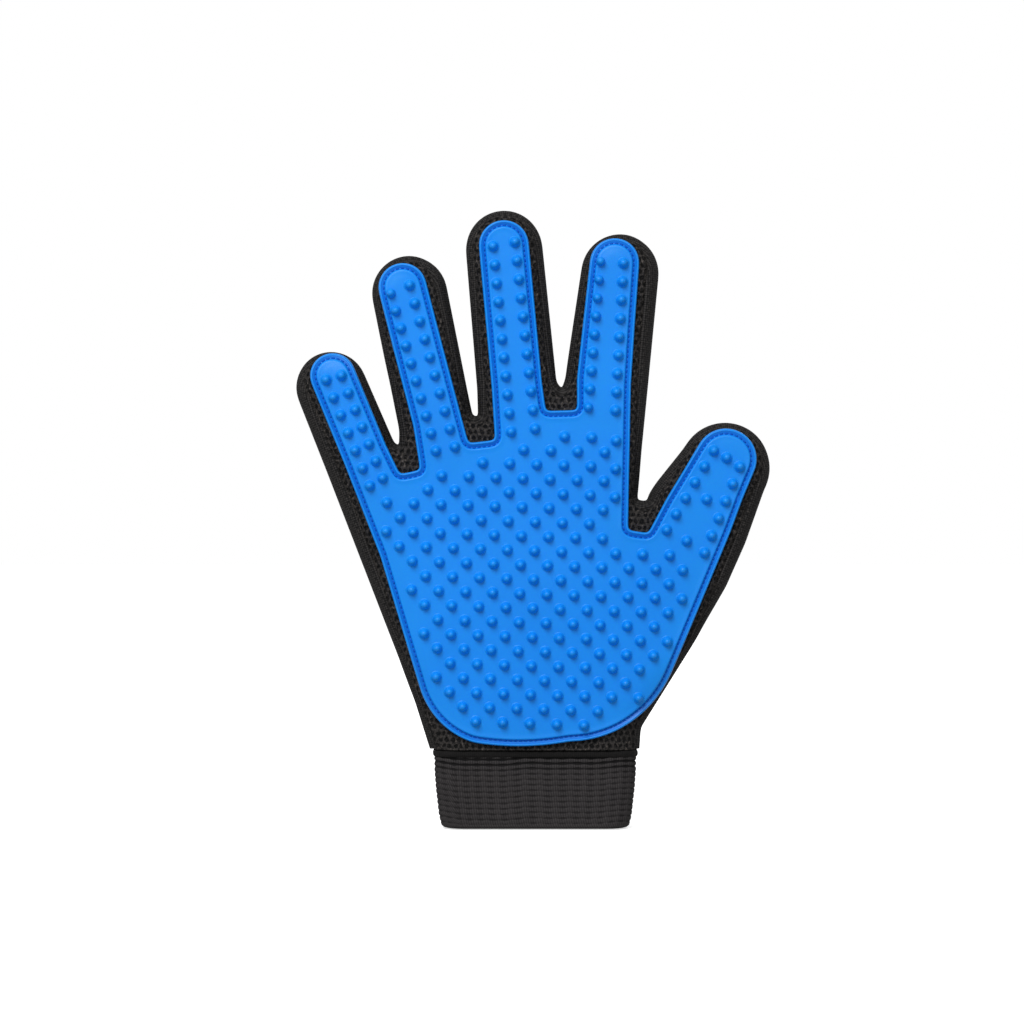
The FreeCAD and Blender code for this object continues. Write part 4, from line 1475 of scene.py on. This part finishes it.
def mesh_material():
    """Black air mesh: dark holes in a loose honeycomb, between looped yarns with brown specks."""
    surface = Surface("black_air_mesh")
    rest = surface.attribute("rest")
    place = surface.separate(rest)
    flat = surface.node("ShaderNodeCombineXYZ", {"X": place["X"], "Y": place["Z"]}).outputs["Vector"]
    wobble = surface.node("ShaderNodeTexNoise", {"Vector": rest, "Scale": 0.3, "Detail": 1.0})
    shift = surface.vector("SUBTRACT", wobble.outputs["Color"], (0.5, 0.5, 0.5))
    shift = surface.vector("MULTIPLY", shift, (1.6, 1.6, 0.0))
    far = surface.hexes(surface.vector("ADD", flat, shift), 2.1, 1.25)
    yarn = surface.noise(rest, 1.1, 3.0, 0.65)
    thread = surface.noise(surface.vector("MULTIPLY", rest, (1.9, 1.0, 0.75)), 1.0, 2.0, 0.6)
    open_mesh = surface.ramp(far, 0.42, 0.80, 1.0, 0.0)
    hole = surface.times(open_mesh, surface.ramp(yarn, 0.4, 0.68, 1.0, 0.6))
    base = surface.mix(surface.ramp(yarn, 0.35, 0.62), (0.0075, 0.0070, 0.0070), (0.040, 0.036, 0.034))
    specks = surface.times(surface.ramp(thread, 0.54, 0.68), surface.ramp(yarn, 0.42, 0.58))
    base = surface.mix(specks, base, (0.100, 0.086, 0.076))
    colour = surface.mix(hole, base, (0.0010, 0.0010, 0.0012))
    height = surface.plus(surface.times(yarn, 0.7), surface.times(hole, -1.3))
    return surface.finish(colour, 0.85, height, 0.45 * MM, Specular_IOR_Level=0.2)


def knit_material(name, light, dark, wale, course, sheen):
    """A fine knit: small V-shaped stitches in columns."""
    surface = Surface(name)
    rest = surface.attribute("rest")
    place = surface.separate(rest)
    column = surface.math("ABSOLUTE", surface.waves(place["X"], wale))
    stitch = surface.waves(surface.plus(place["Z"], surface.times(column, course * 0.5)), course)
    height = surface.plus(surface.times(column, 0.6), surface.times(stitch, 0.3))
    fuzz = surface.noise(rest, 1.6, 3.0, 0.6)
    height = surface.plus(height, surface.times(fuzz, 0.5))
    colour = surface.mix(surface.ramp(height, 0.1, 1.1), dark, light)
    return surface.finish(
        colour, 0.8, height, 0.16 * MM,
        Specular_IOR_Level=0.25, Sheen_Weight=sheen, Sheen_Roughness=0.5,
    )


def gusset_material():
    """Fine smooth knit of the side strips, with the thumb side's long dark holes."""
    surface = Surface("black_gusset_knit")
    strip = surface.attribute("strip")
    rest = surface.attribute("rest")
    place = surface.separate(strip)
    cross = surface.waves(place["Y"], 0.95)
    rows = surface.waves(place["X"], 0.8)
    yarn = surface.noise(rest, 1.3, 3.0, 0.65)
    far = surface.hexes(strip, 2.4, 0.8)
    pores = surface.ramp(far, 0.25, 0.6, 1.0, 0.0)
    height = surface.plus(surface.times(cross, 0.25), surface.times(rows, 0.2))
    height = surface.plus(height, yarn)
    height = surface.math("SUBTRACT", height, surface.times(pores, 0.6))
    light = surface.ramp(height, 0.2, 1.0)
    colour = surface.mix(light, (0.007, 0.0066, 0.0068), (0.042, 0.039, 0.038))
    specks = surface.ramp(surface.noise(rest, 0.9, 2.0, 0.7), 0.62, 0.75)
    colour = surface.mix(surface.times(specks, 0.5), colour, (0.085, 0.073, 0.064))
    return surface.finish(colour, 0.85, height, 0.2 * MM, Specular_IOR_Level=0.2)


def elastic_material():
    """Ribbed elastic: dark warm grey with fine upright wales, and painted shade, near black, in the grooves
    between the ribs, stronger towards the top.
    """
    surface = Surface("grey_black_elastic")
    place = surface.separate(surface.attribute("strip"))
    wale = surface.waves(place["X"], 0.85)
    rest = surface.attribute("rest")
    fuzz = surface.noise(rest, 1.4, 3.0, 0.65)
    slow = surface.noise(rest, 0.12, 2.0)
    height = surface.plus(surface.times(wale, 0.22), surface.times(fuzz, 0.8))
    light = surface.plus(surface.ramp(height, 0.1, 0.8), surface.times(slow, 0.4))
    colour = surface.mix(surface.times(light, 0.75), (0.0170, 0.0158, 0.0165), (0.054, 0.049, 0.050))
    # Painted shade: near black is mixed into the grooves between the ribs, by the depth of each groove, more
    # towards the top of the cuff.
    high = surface.ramp(place["Y"], 17.0, 25.0, 0.55, 0.95)
    painted_rib_shade = surface.times(surface.ramp(place["Z"], 0.08, 0.26), high)
    colour = surface.mix(painted_rib_shade, colour, (0.003, 0.0028, 0.003))
    return surface.finish(colour, 0.9, height, 0.14 * MM, Specular_IOR_Level=0.2)


def cloth_material(name, light, dark, scale, depth):
    """A plain fuzzy cloth or pile."""
    surface = Surface(name)
    rest = surface.attribute("rest")
    fuzz = surface.noise(rest, scale, 4.0, 0.7)
    cross = surface.cords(rest, 0.45, 3.0)
    height = surface.plus(fuzz, surface.times(cross, 0.3))
    colour = surface.mix(surface.ramp(height, 0.3, 0.95), dark, light)
    return surface.finish(colour, 0.88, height, depth * MM, Specular_IOR_Level=0.25)


# ------------------------------------------------------------------ assembly

SLOTS = {
    "silicone": silicone_material(),
    "mesh": mesh_material(),
    "gusset": gusset_material(),
    "knit": knit_material("black_back_knit", (0.032, 0.031, 0.032), (0.007, 0.007, 0.0075), 1.5, 1.1, 0.15),
    "elastic": elastic_material(),
    # The tape is black cloth, painted near black, darker than the other cloth, as painted shade in the seam
    # between the palm and the cuff; the hem tape inside the cuff shares it.
    "tape": cloth_material("black_tape", (0.0085, 0.0075, 0.0072), (0.0015, 0.0014, 0.0014), 1.3, 0.15),
    "webbing": cloth_material("black_webbing", (0.034, 0.033, 0.034), (0.010, 0.010, 0.011), 1.8, 0.1),
    "loop": cloth_material("black_loop_pile", (0.030, 0.029, 0.029), (0.006, 0.006, 0.006), 2.2, 0.25),
    "hook": cloth_material("black_hooks", (0.022, 0.022, 0.023), (0.009, 0.009, 0.010), 0.7, 0.05),
}
BLUE_THREAD = thread_material("blue_thread", (0.003, 0.175, 0.76), (0.002, 0.085, 0.52))
BLACK_THREAD = thread_material("black_thread", (0.024, 0.022, 0.021), (0.004, 0.004, 0.004))

build_fabric()
build_pads()
blue_threads = pad_stitches()
black_threads = seam_stitches(True) + seam_stitches(False)
build_cuff()
build_tapes()
build_strap()

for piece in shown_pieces():
    slot_name = piece.get("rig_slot")
    piece.data.materials.clear()
    piece.data.materials.append(SLOTS[slot_name])
for pieces, thread in ((blue_threads, BLUE_THREAD), (black_threads, BLACK_THREAD)):
    for piece in pieces:
        piece.data.materials[0] = thread
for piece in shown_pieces():
    if piece.name in ("strap_tab_stitches", "strap_base_stitches"):
        piece.data.materials[0] = BLACK_THREAD

# ------------------------------------------------------------------ floor, light and camera


SKY = 0.45                       # strength of the even light on the glove
FLOOR_GLOW = 0.62


def floor():
    """A pale plane just under the cuff."""
    bpy.ops.mesh.primitive_plane_add(size=12, location=(0, 0, -0.4 * MM))
    plane = bpy.context.object
    plane.name = "studio_floor"
    surface = Surface("pale_floor")
    grain = surface.noise(surface.node("ShaderNodeTexCoord").outputs["Object"], 3.0, 2.0)
    shade = surface.mix(grain, (0.93, 0.93, 0.93), (0.97, 0.97, 0.97))
    glow = {"Emission_Color": (1.0, 1.0, 1.0), "Emission_Strength": FLOOR_GLOW}
    plane.data.materials.append(surface.finish(shade, 0.9, **glow))
    # The floor would light the glove from below, so only the camera sees its brightness.
    plane.visible_diffuse = False
    plane.visible_glossy = False
    plane.visible_shadow = False


def area_light(name, place, aim, size, power, glossy=True):
    """A soft round lamp; without glossy it isn't mirrored in the silicone."""
    light = bpy.data.lights.new(name, "AREA")
    light.shape = "DISK"
    light.size = size
    light.energy = power
    lamp = bpy.data.objects.new(name, light)
    lamp.location = place
    lamp.visible_glossy = glossy
    lamp.rotation_euler = (Vector(aim) - Vector(place)).to_track_quat("-Z", "Y").to_euler()
    bpy.context.scene.collection.objects.link(lamp)


CENTRE = (-8.3 * MM, 0.0, 112.6 * MM)
floor()
area_light("key_light", (-0.4, -1.15, 1.05), CENTRE, 0.9, 18.0)
area_light("back_light", (0.8, 1.3, 0.9), CENTRE, 0.8, 8.0, glossy=False)

world = bpy.data.worlds.new("white_studio")
world.use_nodes = True
backdrop = world.node_tree.nodes["Background"]
backdrop.inputs["Color"].default_value = (1.0, 1.0, 1.0, 1.0)
# A white backdrop behind the glove, with a weaker even light on it.
seen = world.node_tree.nodes.new("ShaderNodeLightPath")
strength = world.node_tree.nodes.new("ShaderNodeMapRange")
strength.inputs["To Min"].default_value = SKY
strength.inputs["To Max"].default_value = 1.0
world.node_tree.links.new(seen.outputs["Is Camera Ray"], strength.inputs["Value"])
world.node_tree.links.new(strength.outputs["Result"], backdrop.inputs["Strength"])
scene = bpy.context.scene
scene.world = world
scene.view_settings.view_transform = "Standard"
scene.view_settings.look = "None"

LENS = 120.0
SENSOR = 36.0
FRAME_WIDTH = 362.3 * MM
camera_data = bpy.data.cameras.new("photo_camera")
camera_data.lens = LENS
camera_data.sensor_width = SENSOR
camera = bpy.data.objects.new("photo_camera", camera_data)
camera.location = (-8.33 * MM, PAD_LEVEL - FRAME_WIDTH * LENS / SENSOR, 112.6 * MM)
camera.rotation_euler = (math.pi / 2, 0, 0)
scene.collection.objects.link(camera)
scene.camera = camera
